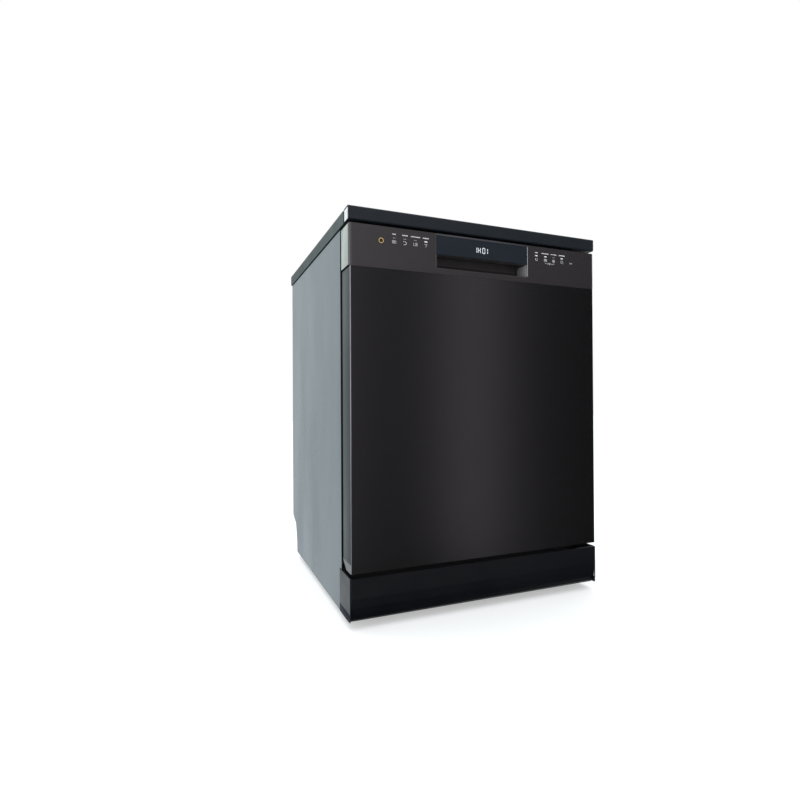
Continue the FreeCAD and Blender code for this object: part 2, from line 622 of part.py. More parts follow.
def cup_shelf(name, sign):
    """A wire shelf with the round rod that it folds about."""
    low, high = span(sign, 140, 243)
    return join(name, "MultiFuse", [
        lattice(name + "_grid", "z", (low, -170, high, 180), 545, 548, 3, 12),
        cylinder(name + "_pivot", (241 * sign, -170, 546.5), 1.9, 350, "y")])


cup_shelf("cup_shelf_left", -1)
cup_shelf("cup_shelf_right", 1)

upper_feed = Piece("upper_feed_tube")
upper_feed.pad("z", [("box", -10, ARM_Y, 10, UB - 0.5)], UZ - 7, UZ - 0.1)
upper_feed.pad("z", [("circle", 0, ARM_Y, 14)], UZ - 7, UZ - 0.1)
upper_feed.pad("z", [("circle", 0, ARM_Y, D["spindle"])], UZ - 26, UZ - 6)
spray_arm("middle_spray_arm", ARM_Y, 420, 200, 30, 20)

# Lower rack ------------------------------------------------------------------
LH, LF, LB, LZ, LT = (D[key] for key in ("lower_half", "lower_front", "lower_back", "lower_floor", "lower_top"))
lower_items = [
    lattice("lower_floor_grid", "z", (-LH + 4.2, LF + 17, LH - 4.2, LB - 4.2), LZ, LZ + WIRE, 11, 10),
    lattice("lower_left_grid", "x", (LF + 4.2, LZ + 19, LB - 4.2, LT), -LH, -LH + WIRE, 11, 3),
    lattice("lower_right_grid", "x", (LF + 4.2, LZ + 19, LB - 4.2, LT), LH - WIRE, LH, 11, 3),
    lattice("lower_front_grid", "y", (-LH, LZ + 19, LH, LT), LF, LF + WIRE, 12, 3),
    lattice("lower_back_grid", "y", (-LH, LZ, LH, LT), LB - WIRE, LB, 12, 4),
    comb("lower_tines_fixed", "y", -225, 110, 12, LZ + 4.2, LZ + 8, LZ + 74, 20, 23),
]
AXLES = []
for tag, sign in (("l", -1), ("r", 1)):
    for end, y in (("f", D["wheel_front_y"]), ("b", D["wheel_rear_y"])):
        x0, x1 = span(sign, LH - 3, 264)
        AXLES.append(cylinder(f"axle_{tag}{end}", (x0, y, D["wheel_z"]), 4, 264 - LH + 3, "x"))
        x0, x1 = span(sign, LH - 3, LH + 1)
        AXLES.append(box(f"axle_plate_{tag}{end}", (x0, y - 8, D["wheel_z"] - 7), (x1, y + 8, LZ)))
join("lower_rack", "Compound", lower_items + [
    join(f"axle_join_{n}", "MultiFuse", AXLES[2 * n:2 * n + 2]) for n in range(4)])


def wheel(name, sign, y):
    disc = Piece(name)
    low, high = span(sign, 253, 262)
    disc.pad("x", [("circle", y, D["wheel_z"], D["wheel_rad"]),
                   ("circle", y, D["wheel_z"], 4 + D["running"])], low, high)
    disc.fillet(1.5, lambda edge: abs(edge.BoundBox.ZLength - 36) < 0.5)
    return disc.body


pair("lower_front_wheels", lambda name, sign: wheel(name, sign, D["wheel_front_y"]))
pair("lower_rear_wheels", lambda name, sign: wheel(name, sign, D["wheel_rear_y"]))



def folding_tines(name, y):
    """A row of tines with the round rod that it folds about."""
    return join(name, "MultiFuse", [
        comb(name + "_row", "y", -225, 110, 12, LZ + 6, LZ + 10, LZ + 76, y - 1.5, y + 1.5),
        cylinder(name + "_pivot", (-225, y, LZ + 8), 2.2, 335, "x")])


folding_tines("folding_tines_front", -80.5)
folding_tines("folding_tines_rear", 119.5)

BASKET = (125, -195, LZ + 4.2, 238, 150, 330)


def basket():
    x0, y0, z0, x1, y1, z1 = BASKET
    walls = [
        box("basket_floor", (x0, y0, z0), (x1, y1, z0 + 2.5)),
        box("basket_left", (x0, y0, z0 + 2.6), (x0 + 2, y1, z1)),
        box("basket_right", (x1 - 2, y0, z0 + 2.6), (x1, y1, z1)),
        box("basket_front", (x0 + 2.1, y0, z0 + 2.6), (x1 - 2.1, y0 + 2, z1)),
        box("basket_back", (x0 + 2.1, y1 - 2, z0 + 2.6), (x1 - 2.1, y1, z1)),
    ]
    for n in range(1, 4):
        y = y0 + (y1 - y0) * n / 4
        walls.append(box(f"basket_divider_{n}", (x0 + 2.1, y - 1, z0 + 2.6), (x1 - 2.1, y + 1, z1 - 20)))
    return join("cutlery_basket", "Compound", walls)


basket()

# Checks and export -----------------------------------------------------------
NODES = [
    "worktop", "worktop_front_trim", "worktop_end_caps", "left_side_panel", "right_side_panel", "rear_panel",
    "base_tray", "kick_plate", "tub_wrap", "tub_rear_wall", "tub_floor", "tub_front_frame",
    "tub_gasket", "sump", "filter_plate", "circulation_pump", "drain_pump", "water_softener",
    "spray_feed_pipe", "air_break", "hinge_brackets", "door_strike", "rail_outer",
    "inlet_valve", "mains_gland", "foot_front_left", "foot_front_right", "foot_rear_left",
    "foot_rear_right", "filter_cylinder", "salt_cap", "float_cup", "lower_spray_arm", "top_spray_arm",
    "door_outer_panel", "control_panel", "indicator_lights", "handle_pocket", "display_window",
    "handle_bezel", "door_liner", "door_insulation", "door_latch", "hinge_arms",
    "detergent_dispenser", "dispenser_lid", "rinse_aid_cap", "upper_rack", "rail_middle",
    "cup_shelf_left", "cup_shelf_right", "upper_feed_tube", "middle_spray_arm", "lower_rack",
    "lower_front_wheels", "lower_rear_wheels", "folding_tines_front", "folding_tines_rear", "cutlery_basket",
    "lower_door_seal",
]
doc.recompute()
for item in doc.Objects:
    if "Invalid" in item.State or "Error" in item.State:
        raise ValueError(f"{item.Name} did not compute")
os.makedirs("parts", exist_ok=True)
for label in NODES:
    found = doc.getObjectsByLabel(label)
    shape = found[0].Shape
    if len(found) != 1 or shape.isNull() or not shape.isValid() or not shape.Solids:
        raise ValueError(f"{label} has no valid shape")
    shape.exportStep(f"parts/{label}.step")
    box_of = shape.BoundBox
    print(f"{label:22s} {len(shape.Solids)} vol {shape.Volume / 1000:9.1f} cm3  "
          f"x {box_of.XMin:.1f}..{box_of.XMax:.1f} y {box_of.YMin:.1f}..{box_of.YMax:.1f} "
          f"z {box_of.ZMin:.1f}..{box_of.ZMax:.1f}")
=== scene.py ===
import math
import bpy
from mathutils import Matrix, Vector


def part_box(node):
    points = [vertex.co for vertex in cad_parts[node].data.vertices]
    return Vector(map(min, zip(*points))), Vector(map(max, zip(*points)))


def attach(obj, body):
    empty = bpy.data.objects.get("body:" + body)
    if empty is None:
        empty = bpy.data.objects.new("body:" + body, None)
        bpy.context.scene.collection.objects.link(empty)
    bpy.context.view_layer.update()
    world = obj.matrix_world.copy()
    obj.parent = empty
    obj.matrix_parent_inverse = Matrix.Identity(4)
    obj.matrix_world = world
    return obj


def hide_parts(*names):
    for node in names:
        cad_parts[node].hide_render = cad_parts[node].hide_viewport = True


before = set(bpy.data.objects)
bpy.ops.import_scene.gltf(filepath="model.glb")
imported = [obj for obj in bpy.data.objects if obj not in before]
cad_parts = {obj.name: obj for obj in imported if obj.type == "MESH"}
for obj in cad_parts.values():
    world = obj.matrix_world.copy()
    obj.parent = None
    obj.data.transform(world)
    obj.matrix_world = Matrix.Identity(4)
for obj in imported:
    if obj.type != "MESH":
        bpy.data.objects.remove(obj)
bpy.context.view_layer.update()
MM = 0.001


# Camera, light and ground ----------------------------------------------------
EYE = (-0.5779, -1.2509, 0.43695)
YAW, PITCH, ROLL = math.radians(22.07), math.radians(0.4146), -0.0053127
SENSOR_WIDTH, FOCAL_LENGTH = 36, 23.157


def aim_camera():
    """Standing at the front left corner, looking right by 22 degrees, half way up the machine."""
    yaw, pitch, roll = YAW, PITCH, ROLL
    forward = Vector((math.sin(yaw) * math.cos(pitch), math.cos(yaw) * math.cos(pitch), math.sin(pitch)))
    level = Vector((math.cos(yaw), -math.sin(yaw), 0))
    rise = level.cross(forward)
    right = level * math.cos(roll) + rise * math.sin(roll)
    up = right.cross(forward)
    data = bpy.data.cameras.new("camera")
    data.sensor_width = SENSOR_WIDTH
    data.lens = FOCAL_LENGTH
    camera = bpy.data.objects.new("camera", data)
    bpy.context.scene.collection.objects.link(camera)
    turn = Matrix((right, up, -forward)).transposed().to_4x4()
    camera.matrix_world = Matrix.Translation(EYE) @ turn
    bpy.context.scene.camera = camera


def softbox(name, place, target, width, height, power, tint=(1, 1, 1)):
    data = bpy.data.lights.new(name, "AREA")
    data.shape = "RECTANGLE"
    data.size = width
    data.size_y = height
    data.energy = power
    data.color = tint
    light = bpy.data.objects.new(name, data)
    bpy.context.scene.collection.objects.link(light)
    aim = (Vector(target) - Vector(place)).to_track_quat("-Z", "Y")
    light.matrix_world = Matrix.Translation(place) @ aim.to_matrix().to_4x4()


def room_light():
    """Bright behind the machine, to its left and overhead, dark in front and below, white to the eye."""
    world = bpy.data.worlds.new("room")
    bpy.context.scene.world = world
    world.use_nodes = True
    nodes, links = world.node_tree.nodes, world.node_tree.links
    nodes.clear()
    where = nodes.new("ShaderNodeTexCoord")
    split = nodes.new("ShaderNodeSeparateXYZ")
    links.new(where.outputs["Generated"], split.inputs[0])

    def fade(axis, start, end, low, high):
        ramp = nodes.new("ShaderNodeMapRange")
        ramp.interpolation_type = "SMOOTHSTEP"
        for socket, value in zip(("From Min", "From Max", "To Min", "To Max"), (start, end, low, high)):
            ramp.inputs[socket].default_value = value
        links.new(split.outputs[axis], ramp.inputs["Value"])
        return ramp.outputs[0]

    total = fade("Y", -0.45, 0.55, ROOM_FRONT, ROOM_BACK)
    above = fade("Z", 0.30, 0.85, 0.0, ROOM_ABOVE)
    left = fade("X", -0.98, -0.55, ROOM_LEFT, 0.0)
    below = fade("Z", -0.92, -0.55, ROOM_BELOW, 1.0)
    for operation, ramp in (("ADD", above), ("ADD", left), ("MULTIPLY", below)):
        both = nodes.new("ShaderNodeMath")
        both.operation = operation
        links.new(total, both.inputs[0])
        links.new(ramp, both.inputs[1])
        total = both.outputs[0]
    room = nodes.new("ShaderNodeBackground")
    room.inputs["Color"].default_value = ROOM_TINT
    wall = nodes.new("ShaderNodeBackground")
    wall.inputs["Color"].default_value = (1, 1, 1, 1)
    wall.inputs["Strength"].default_value = 1.0
    seen = nodes.new("ShaderNodeLightPath")
    choose = nodes.new("ShaderNodeMixShader")
    out = nodes.new("ShaderNodeOutputWorld")
    links.new(total, room.inputs["Strength"])
    links.new(seen.outputs["Is Camera Ray"], choose.inputs[0])
    links.new(room.outputs[0], choose.inputs[1])
    links.new(wall.outputs[0], choose.inputs[2])
    links.new(choose.outputs[0], out.inputs[0])


ROOM_FRONT, ROOM_BACK, ROOM_ABOVE, ROOM_LEFT, ROOM_BELOW = 0.02, 1.0, 1.1, 0.55, 0.08
ROOM_TINT = (0.90, 0.975, 1.0, 1)
WARM, WARMER = (1, 0.95, 0.98), (1, 0.93, 0.99)
bpy.context.scene.view_settings.view_transform = "Standard"
bpy.context.scene.view_settings.look = "None"
aim_camera()
room_light()
softbox("overhead", (0, -0.2, 3.6), (0, 0, 0), 3.6, 3.6, 60)
softbox("tall_strip", (1.97, -3.77, 0.62), (0, -0.3, 0.45), 0.46, 3.66, 5.3, WARMER)
softbox("left_strip", (0.62, -4.2, 0.45), (-0.2, -0.3, 0.45), 0.6, 3.6, 2.5, WARMER)
softbox("front_left", (-1.1, -3.7, 1.3), (-0.1, -0.3, 0.5), 1.9, 2.4, 42, WARM)
softbox("left_wall", (-3.6, -1.3, 0.9), (-0.3, -0.3, 0.45), 1.2, 2.6, 36)


# Finishes ----------------------------------------------------------------------
COLOUR_A, COLOUR_B, MIXED_COLOUR = 6, 7, 2
PLAIN_LEVEL = 0.5


def new_finish(name, colour, roughness, metallic=0.0, **sockets):
    """A plain material; further shader sockets are given by name, with _ for each space."""
    material = bpy.data.materials.new(name)
    material.use_nodes = True
    shader = material.node_tree.nodes["Principled BSDF"]
    shader.inputs["Base Color"].default_value = (*colour, 1)
    shader.inputs["Roughness"].default_value = roughness
    shader.inputs["Metallic"].default_value = metallic
    for socket, value in sockets.items():
        shader.inputs[socket.replace("_", " ")].default_value = value
    return material


def noise(material, scale, stretch=(1, 1, 1), detail=3.0):
    """A noise texture on Object coordinates, stretched along an axis where its factor is small."""
    nodes, links = material.node_tree.nodes, material.node_tree.links
    where = nodes.new("ShaderNodeTexCoord")
    mapping = nodes.new("ShaderNodeMapping")
    mapping.inputs["Scale"].default_value = stretch
    texture = nodes.new("ShaderNodeTexNoise")
    texture.inputs["Scale"].default_value = scale
    texture.inputs["Detail"].default_value = detail
    links.new(where.outputs["Object"], mapping.inputs[0])
    links.new(mapping.outputs[0], texture.inputs["Vector"])
    return texture.outputs["Fac"]


def spread(material, source, low, high):
    """Map the middle part of a noise, where most of it lies, onto a range."""
    nodes, links = material.node_tree.nodes, material.node_tree.links
    fit = nodes.new("ShaderNodeMapRange")
    for socket, value in (("From Min", 0.3), ("From Max", 0.7), ("To Min", low), ("To Max", high)):
        fit.inputs[socket].default_value = value
    links.new(source, fit.inputs["Value"])
    return fit.outputs[0]


def vary_roughness(material, source, low, high):
    shader = material.node_tree.nodes["Principled BSDF"]
    material.node_tree.links.new(spread(material, source, low, high), shader.inputs["Roughness"])


def vary_colour(material, source, first, second):
    nodes, links = material.node_tree.nodes, material.node_tree.links
    mix = nodes.new("ShaderNodeMix")
    mix.data_type = "RGBA"
    mix.inputs[COLOUR_A].default_value = (*first, 1)
    mix.inputs[COLOUR_B].default_value = (*second, 1)
    links.new(spread(material, source, 0, 1), mix.inputs[0])
    links.new(mix.outputs[MIXED_COLOUR], nodes["Principled BSDF"].inputs["Base Color"])


def relief(material, source, strength, depth):
    """Bump from a texture, its depth in metres."""
    nodes, links = material.node_tree.nodes, material.node_tree.links
    bump = nodes.new("ShaderNodeBump")
    bump.inputs["Strength"].default_value = strength
    bump.inputs["Distance"].default_value = depth
    links.new(source, bump.inputs["Height"])
    links.new(bump.outputs[0], nodes["Principled BSDF"].inputs["Normal"])


def toned(colour, factor, lift=0.0):
    """A colour made lighter or darker by a factor, and lifted off black."""
    return tuple(c * factor + lift for c in colour)


def gloss_sheet(name, colour, roughness, level=PLAIN_LEVEL):
    """Sprayed or pre-coated sheet steel: orange peel, slow tone drift and faint wipe marks."""
    finish = new_finish(name, colour, roughness, Specular_IOR_Level=level)
    vary_colour(finish, noise(finish, 2.2, detail=4), colour, toned(colour, 1.10, 0.0004))
    vary_roughness(finish, noise(finish, 9, (1, 1, 0.35)), roughness * 0.85, roughness * 1.25)
    relief(finish, noise(finish, 420, detail=2), 0.03, 0.0002)
    return finish


def dark_brushed(name, colour, roughness):
    """Dark coated steel with a fine horizontal grain."""
    grain = (1, 1, 60)
    finish = new_finish(name, colour, roughness, 0.2, Specular_IOR_Level=1.0)
    streaks = noise(finish, 26, grain, detail=6)
    vary_colour(finish, streaks, colour, toned(colour, 1.25, 0.0006))
    vary_roughness(finish, noise(finish, 30, grain, detail=5), roughness * 0.88, roughness * 1.14)
    relief(finish, streaks, 0.06, 0.0002)
    return finish


def steel(name, colour, roughness, grain):
    """Bare metal, its lines drawn out along the axis where the grain's factor is small."""
    finish = new_finish(name, colour, roughness, 1.0)
    lines = noise(finish, 30, grain, detail=6)
    vary_colour(finish, noise(finish, 5, detail=4), toned(colour, 0.9), colour)
    vary_roughness(finish, lines, roughness * 0.8, roughness * 1.3)
    relief(finish, lines, 0.04, 0.0001)
    return finish


def moulded(name, colour, roughness, grain=520, strength=0.12, level=PLAIN_LEVEL):
    """Injection moulded plastic with a spark-eroded grain."""
    finish = new_finish(name, colour, roughness, Specular_IOR_Level=level)
    vary_colour(finish, noise(finish, 7, detail=3), toned(colour, 0.92), colour)
    vary_roughness(finish, noise(finish, 18), roughness * 0.9, min(1.0, roughness * 1.15))
    relief(finish, noise(finish, grain, detail=2), strength, 0.0003)
    return finish


def glowing(name, colour, strength):
    """A lamp lens, lit from behind."""
    finish = new_finish(name, (0.02, 0.02, 0.02), 0.3, Emission_Color=(*colour, 1),
                        Emission_Strength=strength)
    relief(finish, noise(finish, 900), 0.02, 0.0001)
    return finish


SIDE = gloss_sheet("side_paint", (0.032, 0.049, 0.060), 0.24)
LID = gloss_sheet("lid_laminate", (0.008, 0.019, 0.019), 0.50, level=0.36)
TRIM = moulded("trim_plastic", (0.0072, 0.0108, 0.0152), 0.50, strength=0.05, level=0.28)
# Pale grey on the worktop's end caps is a painted reflection of the bright room in their curved recess.
REFLECTION_CAP = moulded("cap_painted_reflection", (0.55, 0.56, 0.55), 0.25, strength=0.03)
DOOR_FRONT = dark_brushed("dark_steel", (0.0034, 0.0029, 0.0034), 0.24)
PANEL_FRONT = dark_brushed("panel_plastic", (0.0105, 0.0066, 0.0080), 0.46)
DOOR_SIDE = gloss_sheet("door_side_paint", (0.010, 0.017, 0.017), 0.48, level=0.36)
KICK = moulded("kick_plastic", (0.0009, 0.0016, 0.0042), 0.42, strength=0.04)
# Dull dark grey on the kick plate's returns is painted shade at their foot and front edge.
KICK_SHADE = moulded("kick_shade_plastic", (0.0060, 0.0085, 0.0160), 0.7, strength=0.04, level=0.15)
GRIP = moulded("grip_plastic", (0.012, 0.011, 0.012), 0.36, strength=0.05)
POCKET = moulded("pocket_plastic", (0.032, 0.028, 0.028), 0.42, strength=0.05)
GLASS = new_finish("display_glass", (0.0055, 0.0100, 0.0165), 0.42, Specular_IOR_Level=0.35)
relief(GLASS, noise(GLASS, 60), 0.01, 0.0002)
vary_roughness(GLASS, noise(GLASS, 14), 0.36, 0.48)
BEZEL = steel("bezel_metal", (0.20, 0.20, 0.21), 0.34, (0.2, 1, 1))
TUB = steel("tub_steel", (0.38, 0.39, 0.40), 0.36, (30, 30, 1))
GALVANISED = steel("galvanised", (0.50, 0.52, 0.53), 0.42, (1, 1, 1))
RUBBER = moulded("gasket_rubber", (0.022, 0.022, 0.024), 0.62)
GREY = moulded("grey_plastic", (0.30, 0.32, 0.34), 0.42)
BLACK = moulded("base_plastic", (0.020, 0.020, 0.021), 0.55)
COATING = moulded("rack_coating", (0.34, 0.36, 0.39), 0.38, strength=0.06)
FELT = moulded("felt", (0.11, 0.10, 0.09), 0.95, 240, 0.6)
LAMP = glowing("lamp_white", (0.86, 0.92, 1.0), 1.1)
LAMP_OFF = moulded("lamp_off", (0.16, 0.155, 0.16), 0.35, strength=0.03)
AMBER = glowing("ring_amber", (0.80, 0.56, 0.16), 0.75)
PRINT = moulded("print_grey", (0.66, 0.65, 0.66), 0.5, strength=0.03)
# Matte black that stands in for shade: painted shade in the gaps round the door and in the rear vents.
SHADE_BLACK = moulded("painted_shade_black", (0.0035, 0.0035, 0.0038), 1.0, 300, 0.4, level=0.0)
# Bright metal on the door's and panel's front edges is a painted highlight of their rounded corners.
EDGE = steel("painted_highlight_edge", (0.24, 0.23, 0.25), 0.38, (1, 1, 0.1))
# Pale grey on the grip hollow's right-hand end is painted light, where that wall faces the light.
LIT_END_GREY = moulded("grip_end_painted_light", (0.20, 0.195, 0.205), 0.24, strength=0.04)
# Light grey along the bezel's right edge is a painted highlight.
HIGHLIGHT_LINE = moulded("bezel_painted_highlight", (0.42, 0.42, 0.46), 0.35, strength=0.03)
# Light grey-green on the control panel's ends is a painted reflection of the bright room on their glossy
# sides.
PAINTED_SHEEN = gloss_sheet("panel_end_painted_sheen", (0.22, 0.245, 0.215), 0.24)

FINISH_OF = {
    SIDE: ["left_side_panel", "right_side_panel"],
    LID: ["worktop"],
    TRIM: ["worktop_front_trim"],
    REFLECTION_CAP: ["worktop_end_caps"],
    DOOR_FRONT: ["door_outer_panel"],
    PANEL_FRONT: ["control_panel"],
    KICK: ["kick_plate"],
    POCKET: ["handle_pocket"],
    GLASS: ["display_window"],
    BEZEL: ["handle_bezel"],
    TUB: ["tub_wrap", "tub_rear_wall", "tub_floor", "tub_front_frame", "door_liner", "filter_plate",
          "door_strike", "rail_outer", "rail_middle"],
    GALVANISED: ["rear_panel", "hinge_brackets", "hinge_arms"],
    RUBBER: ["tub_gasket", "lower_door_seal"],
    GREY: ["sump", "spray_feed_pipe", "upper_feed_tube", "lower_spray_arm", "middle_spray_arm",
           "top_spray_arm", "cutlery_basket", "detergent_dispenser", "dispenser_lid", "rinse_aid_cap",
           "filter_cylinder", "salt_cap", "float_cup", "lower_front_wheels", "lower_rear_wheels",
           "door_latch"],
    BLACK: ["base_tray", "water_softener", "circulation_pump", "drain_pump", "air_break", "inlet_valve",
            "mains_gland", "foot_front_left", "foot_front_right", "foot_rear_left", "foot_rear_right"],
    COATING: ["upper_rack", "lower_rack", "cup_shelf_left", "cup_shelf_right", "folding_tines_front",
              "folding_tines_rear"],
    FELT: ["door_insulation"],
    LAMP: ["indicator_lights"],
}
for finish, names in FINISH_OF.items():
    for name in names:
        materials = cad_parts[name].data.materials
        materials.clear()
        materials.append(finish)


# Workshop ------------------------------------------------------------------------
AXIS_TURN = {"x": (0, math.pi / 2, 0), "y": (math.pi / 2, 0, 0), "z": (0, 0, 0)}
ALONG = 0.9     # a direction counts as along an axis above this share of it
SMOOTH_BELOW = math.radians(35)


def bare():
    """Leave edit mode and select nothing."""
    if bpy.context.object and bpy.context.object.mode != "OBJECT":
        bpy.ops.object.mode_set(mode="OBJECT")
    bpy.ops.object.select_all(action="DESELECT")


def take(piece):
    """Select one piece only."""
    bare()
    piece.select_set(True)
    bpy.context.view_layer.objects.active = piece


def pick(piece, kind, test):
    """Go to edit mode with the faces or edges selected that pass a test on (middle, normal or direction)."""
    take(piece)
    bpy.ops.object.mode_set(mode="EDIT")
    bpy.ops.mesh.select_mode(type=kind)
    bpy.ops.mesh.select_all(action="DESELECT")
    bpy.ops.object.mode_set(mode="OBJECT")
    mesh = piece.data
    if kind == "FACE":
        for face in mesh.polygons:
            face.select = bool(test(face.center, face.normal))
    else:
        for edge in mesh.edges:
            first, second = (mesh.vertices[n].co for n in edge.vertices)
            edge.select = bool(test((first + second) / 2, (second - first).normalized()))
    bpy.ops.object.mode_set(mode="EDIT")


def settle(piece):
    """Put the piece's place into its mesh and leave its object at the origin."""
    take(piece)
    bpy.ops.object.transform_apply(location=True, rotation=True, scale=True)


def slab(low, high):
    """A block between two corners, in millimetres."""
    bare()
    low, high = Vector(low) * MM, Vector(high) * MM
    bpy.ops.mesh.primitive_cube_add(size=1, location=(low + high) / 2)
    piece = bpy.context.object
    piece.scale = high - low
    settle(piece)
    return piece


def turned(middle, radius, depth, axis="z", sides=32):
    """A turned disc or rod along an axis, in millimetres."""
    bare()
    bpy.ops.mesh.primitive_cylinder_add(vertices=sides, radius=radius * MM, depth=depth * MM,
                                        location=Vector(middle) * MM, rotation=AXIS_TURN[axis])
    piece = bpy.context.object
    settle(piece)
    return piece


def hoop(middle, radius, wire, axis="z", sides=32, around=8):
    """A torus about an axis, in millimetres."""
    bare()
    bpy.ops.mesh.primitive_torus_add(major_segments=sides, minor_segments=around, major_radius=radius * MM,
                                     minor_radius=wire * MM, location=Vector(middle) * MM,
                                     rotation=AXIS_TURN[axis])
    piece = bpy.context.object
    settle(piece)
    return piece


def soften(piece, width, steps=2, angle=35):
    """Round every sharp edge."""
    take(piece)
    bevel = piece.modifiers.new("round", "BEVEL")
    bevel.width = width * MM
    bevel.segments = steps
    bevel.limit_method = "ANGLE"
    bevel.angle_limit = math.radians(angle)
    bpy.ops.object.modifier_apply(modifier=bevel.name)
    return piece


def round_edges(piece, radius, steps, test):
    """Round only the edges that pass a test on (middle, direction)."""
    pick(piece, "EDGE", test)
    bpy.ops.mesh.bevel(offset=radius * MM, segments=steps, affect="EDGES")
    bare()
    return piece


def round_corners(piece, radius, axis, steps=6):
    """Round only the edges that run along an axis."""
    index = "xyz".index(axis)
    return round_edges(piece, radius, steps, lambda middle, along: abs(along[index]) > 0.99)


def sink(piece, margin, shift, test):
    """Leave a margin round the faces that pass a test, and move what is inside it, in millimetres."""
    pick(piece, "FACE", test)
    bpy.ops.mesh.inset(thickness=margin * MM)
    bpy.ops.transform.translate(value=Vector(shift) * MM)
    bare()


def hollow(piece, margin, axis):
    """Open a block right through along an axis, leaving a frame of the given width."""
    index = "xyz".index(axis)
    pick(piece, "FACE", lambda middle, facing: abs(facing[index]) > ALONG)
    bpy.ops.mesh.inset(thickness=margin * MM)
    bpy.ops.mesh.bridge_edge_loops()
    bare()


def cut(piece, cutter):
    """Take one piece away from another."""
    take(piece)
    knife = piece.modifiers.new("cut", "BOOLEAN")
    knife.operation = "DIFFERENCE"
    knife.object = cutter
    bpy.ops.object.modifier_apply(modifier=knife.name)
    bpy.data.objects.remove(cutter)


def welded(pieces):
    """Join pieces into one."""
    bare()
    for piece in pieces:
        piece.select_set(True)
    bpy.context.view_layer.objects.active = pieces[0]
    if len(pieces) > 1:
        bpy.ops.object.join()
    return bpy.context.object


def copied(piece, shift=(0, 0, 0)):
    """A copy with its own mesh, moved in millimetres."""
    take(piece)
    bpy.ops.object.duplicate(linked=False)
    copy = bpy.context.object
    copy.location = Vector(shift) * MM
    settle(copy)
    return copy


def mirrored(piece):
    """A copy on the other side of the machine, with its faces turned outwards again."""
    take(piece)
    bpy.ops.object.duplicate(linked=False)
    copy = bpy.context.object
    copy.scale = (-1, 1, 1)
    settle(copy)
    take(copy)
    bpy.ops.object.mode_set(mode="EDIT")
    bpy.ops.mesh.select_all(action="SELECT")
    bpy.ops.mesh.normals_make_consistent(inside=False)
    bare()
    return copy


def both_sides(piece):
    """The piece and its mirror image, as one."""
    return welded([piece, mirrored(piece)])


def install(name, piece, body, finish, replaced=()):
    """Name a finished piece, give it its finish, and let it ride on its body."""
    take(piece)
    piece.name = name
    piece.data.name = name
    piece.data.materials.clear()
    piece.data.materials.append(finish)
    for face in piece.data.polygons:
        face.material_index = 0
    bpy.ops.object.shade_smooth_by_angle(angle=SMOOTH_BELOW)
    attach(piece, body)
    if replaced:
        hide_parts(*replaced)


def bent(points, radius, steps=4):
    """A path with its inner corners rounded, in millimetres."""
    points = [Vector(point) for point in points]
    path = [points[0]]
    for before, corner, after in zip(points, points[1:], points[2:]):
        into, out = (corner - before), (after - corner)
        reach = min(radius, into.length * 0.49, out.length * 0.49)
        start, end = corner - into.normalized() * reach, corner + out.normalized() * reach
        for step in range(steps + 1):
            t = step / steps
            path.append(start * (1 - t) ** 2 + corner * 2 * t * (1 - t) + end * t * t)
    path.append(points[-1])
    return path


def wires(paths, sides=1):
    """Round wires along open or closed paths: each is (points, radius, closed), in millimetres."""
    bare()
    made = []
    for radius in sorted({wire for _, wire, _ in paths}):
        curve = bpy.data.curves.new("wires", "CURVE")
        curve.dimensions = "3D"
        curve.bevel_depth = radius * MM
        curve.bevel_resolution = sides
        curve.use_fill_caps = True
        for points, wire, closed in paths:
            if wire != radius:
                continue
            spline = curve.splines.new("POLY")
            spline.points.add(len(points) - 1)
            for target, point in zip(spline.points, points):
                target.co = (*(Vector(point) * MM), 1)
            spline.use_cyclic_u = closed
        piece = bpy.data.objects.new("wires", curve)
        bpy.context.scene.collection.objects.link(piece)
        take(piece)
        bpy.ops.object.convert(target="MESH")
        made.append(bpy.context.object)
    return welded(made)


def rim(x0, y0, x1, y1, z, corner=22, steps=4):
    """A closed wire loop round a rack."""
    ring = []
    for x, y, start in ((x1, y1, 0), (x0, y1, 90), (x0, y0, 180), (x1, y0, 270)):
        across, along = (-1 if x == x1 else 1), (-1 if y == y1 else 1)
        for step in range(steps + 1):
            turn = math.radians(start + 90 * step / steps)
            ring.append((x + corner * (across + math.cos(turn)), y + corner * (along + math.sin(turn)), z))
    return ring


def even(first, last, count):
    """Evenly spaced numbers, both ends included."""
    return [first + (last - first) * n / (count - 1) for n in range(count)]


# Racks ------------------------------------------------------------------------------
TINE = 1.6              # radius of the plate tines' wire
SHELF_HEIGHT = 546.5
WHEEL_X, WHEEL_HEIGHT, WHEEL_PLACES = 257.5, 199.3, (-120, 180)
ROW_END = -225          # the tine rows of the lower rack run from here
ROW_STOP = 110          # to here, beside the cutlery basket


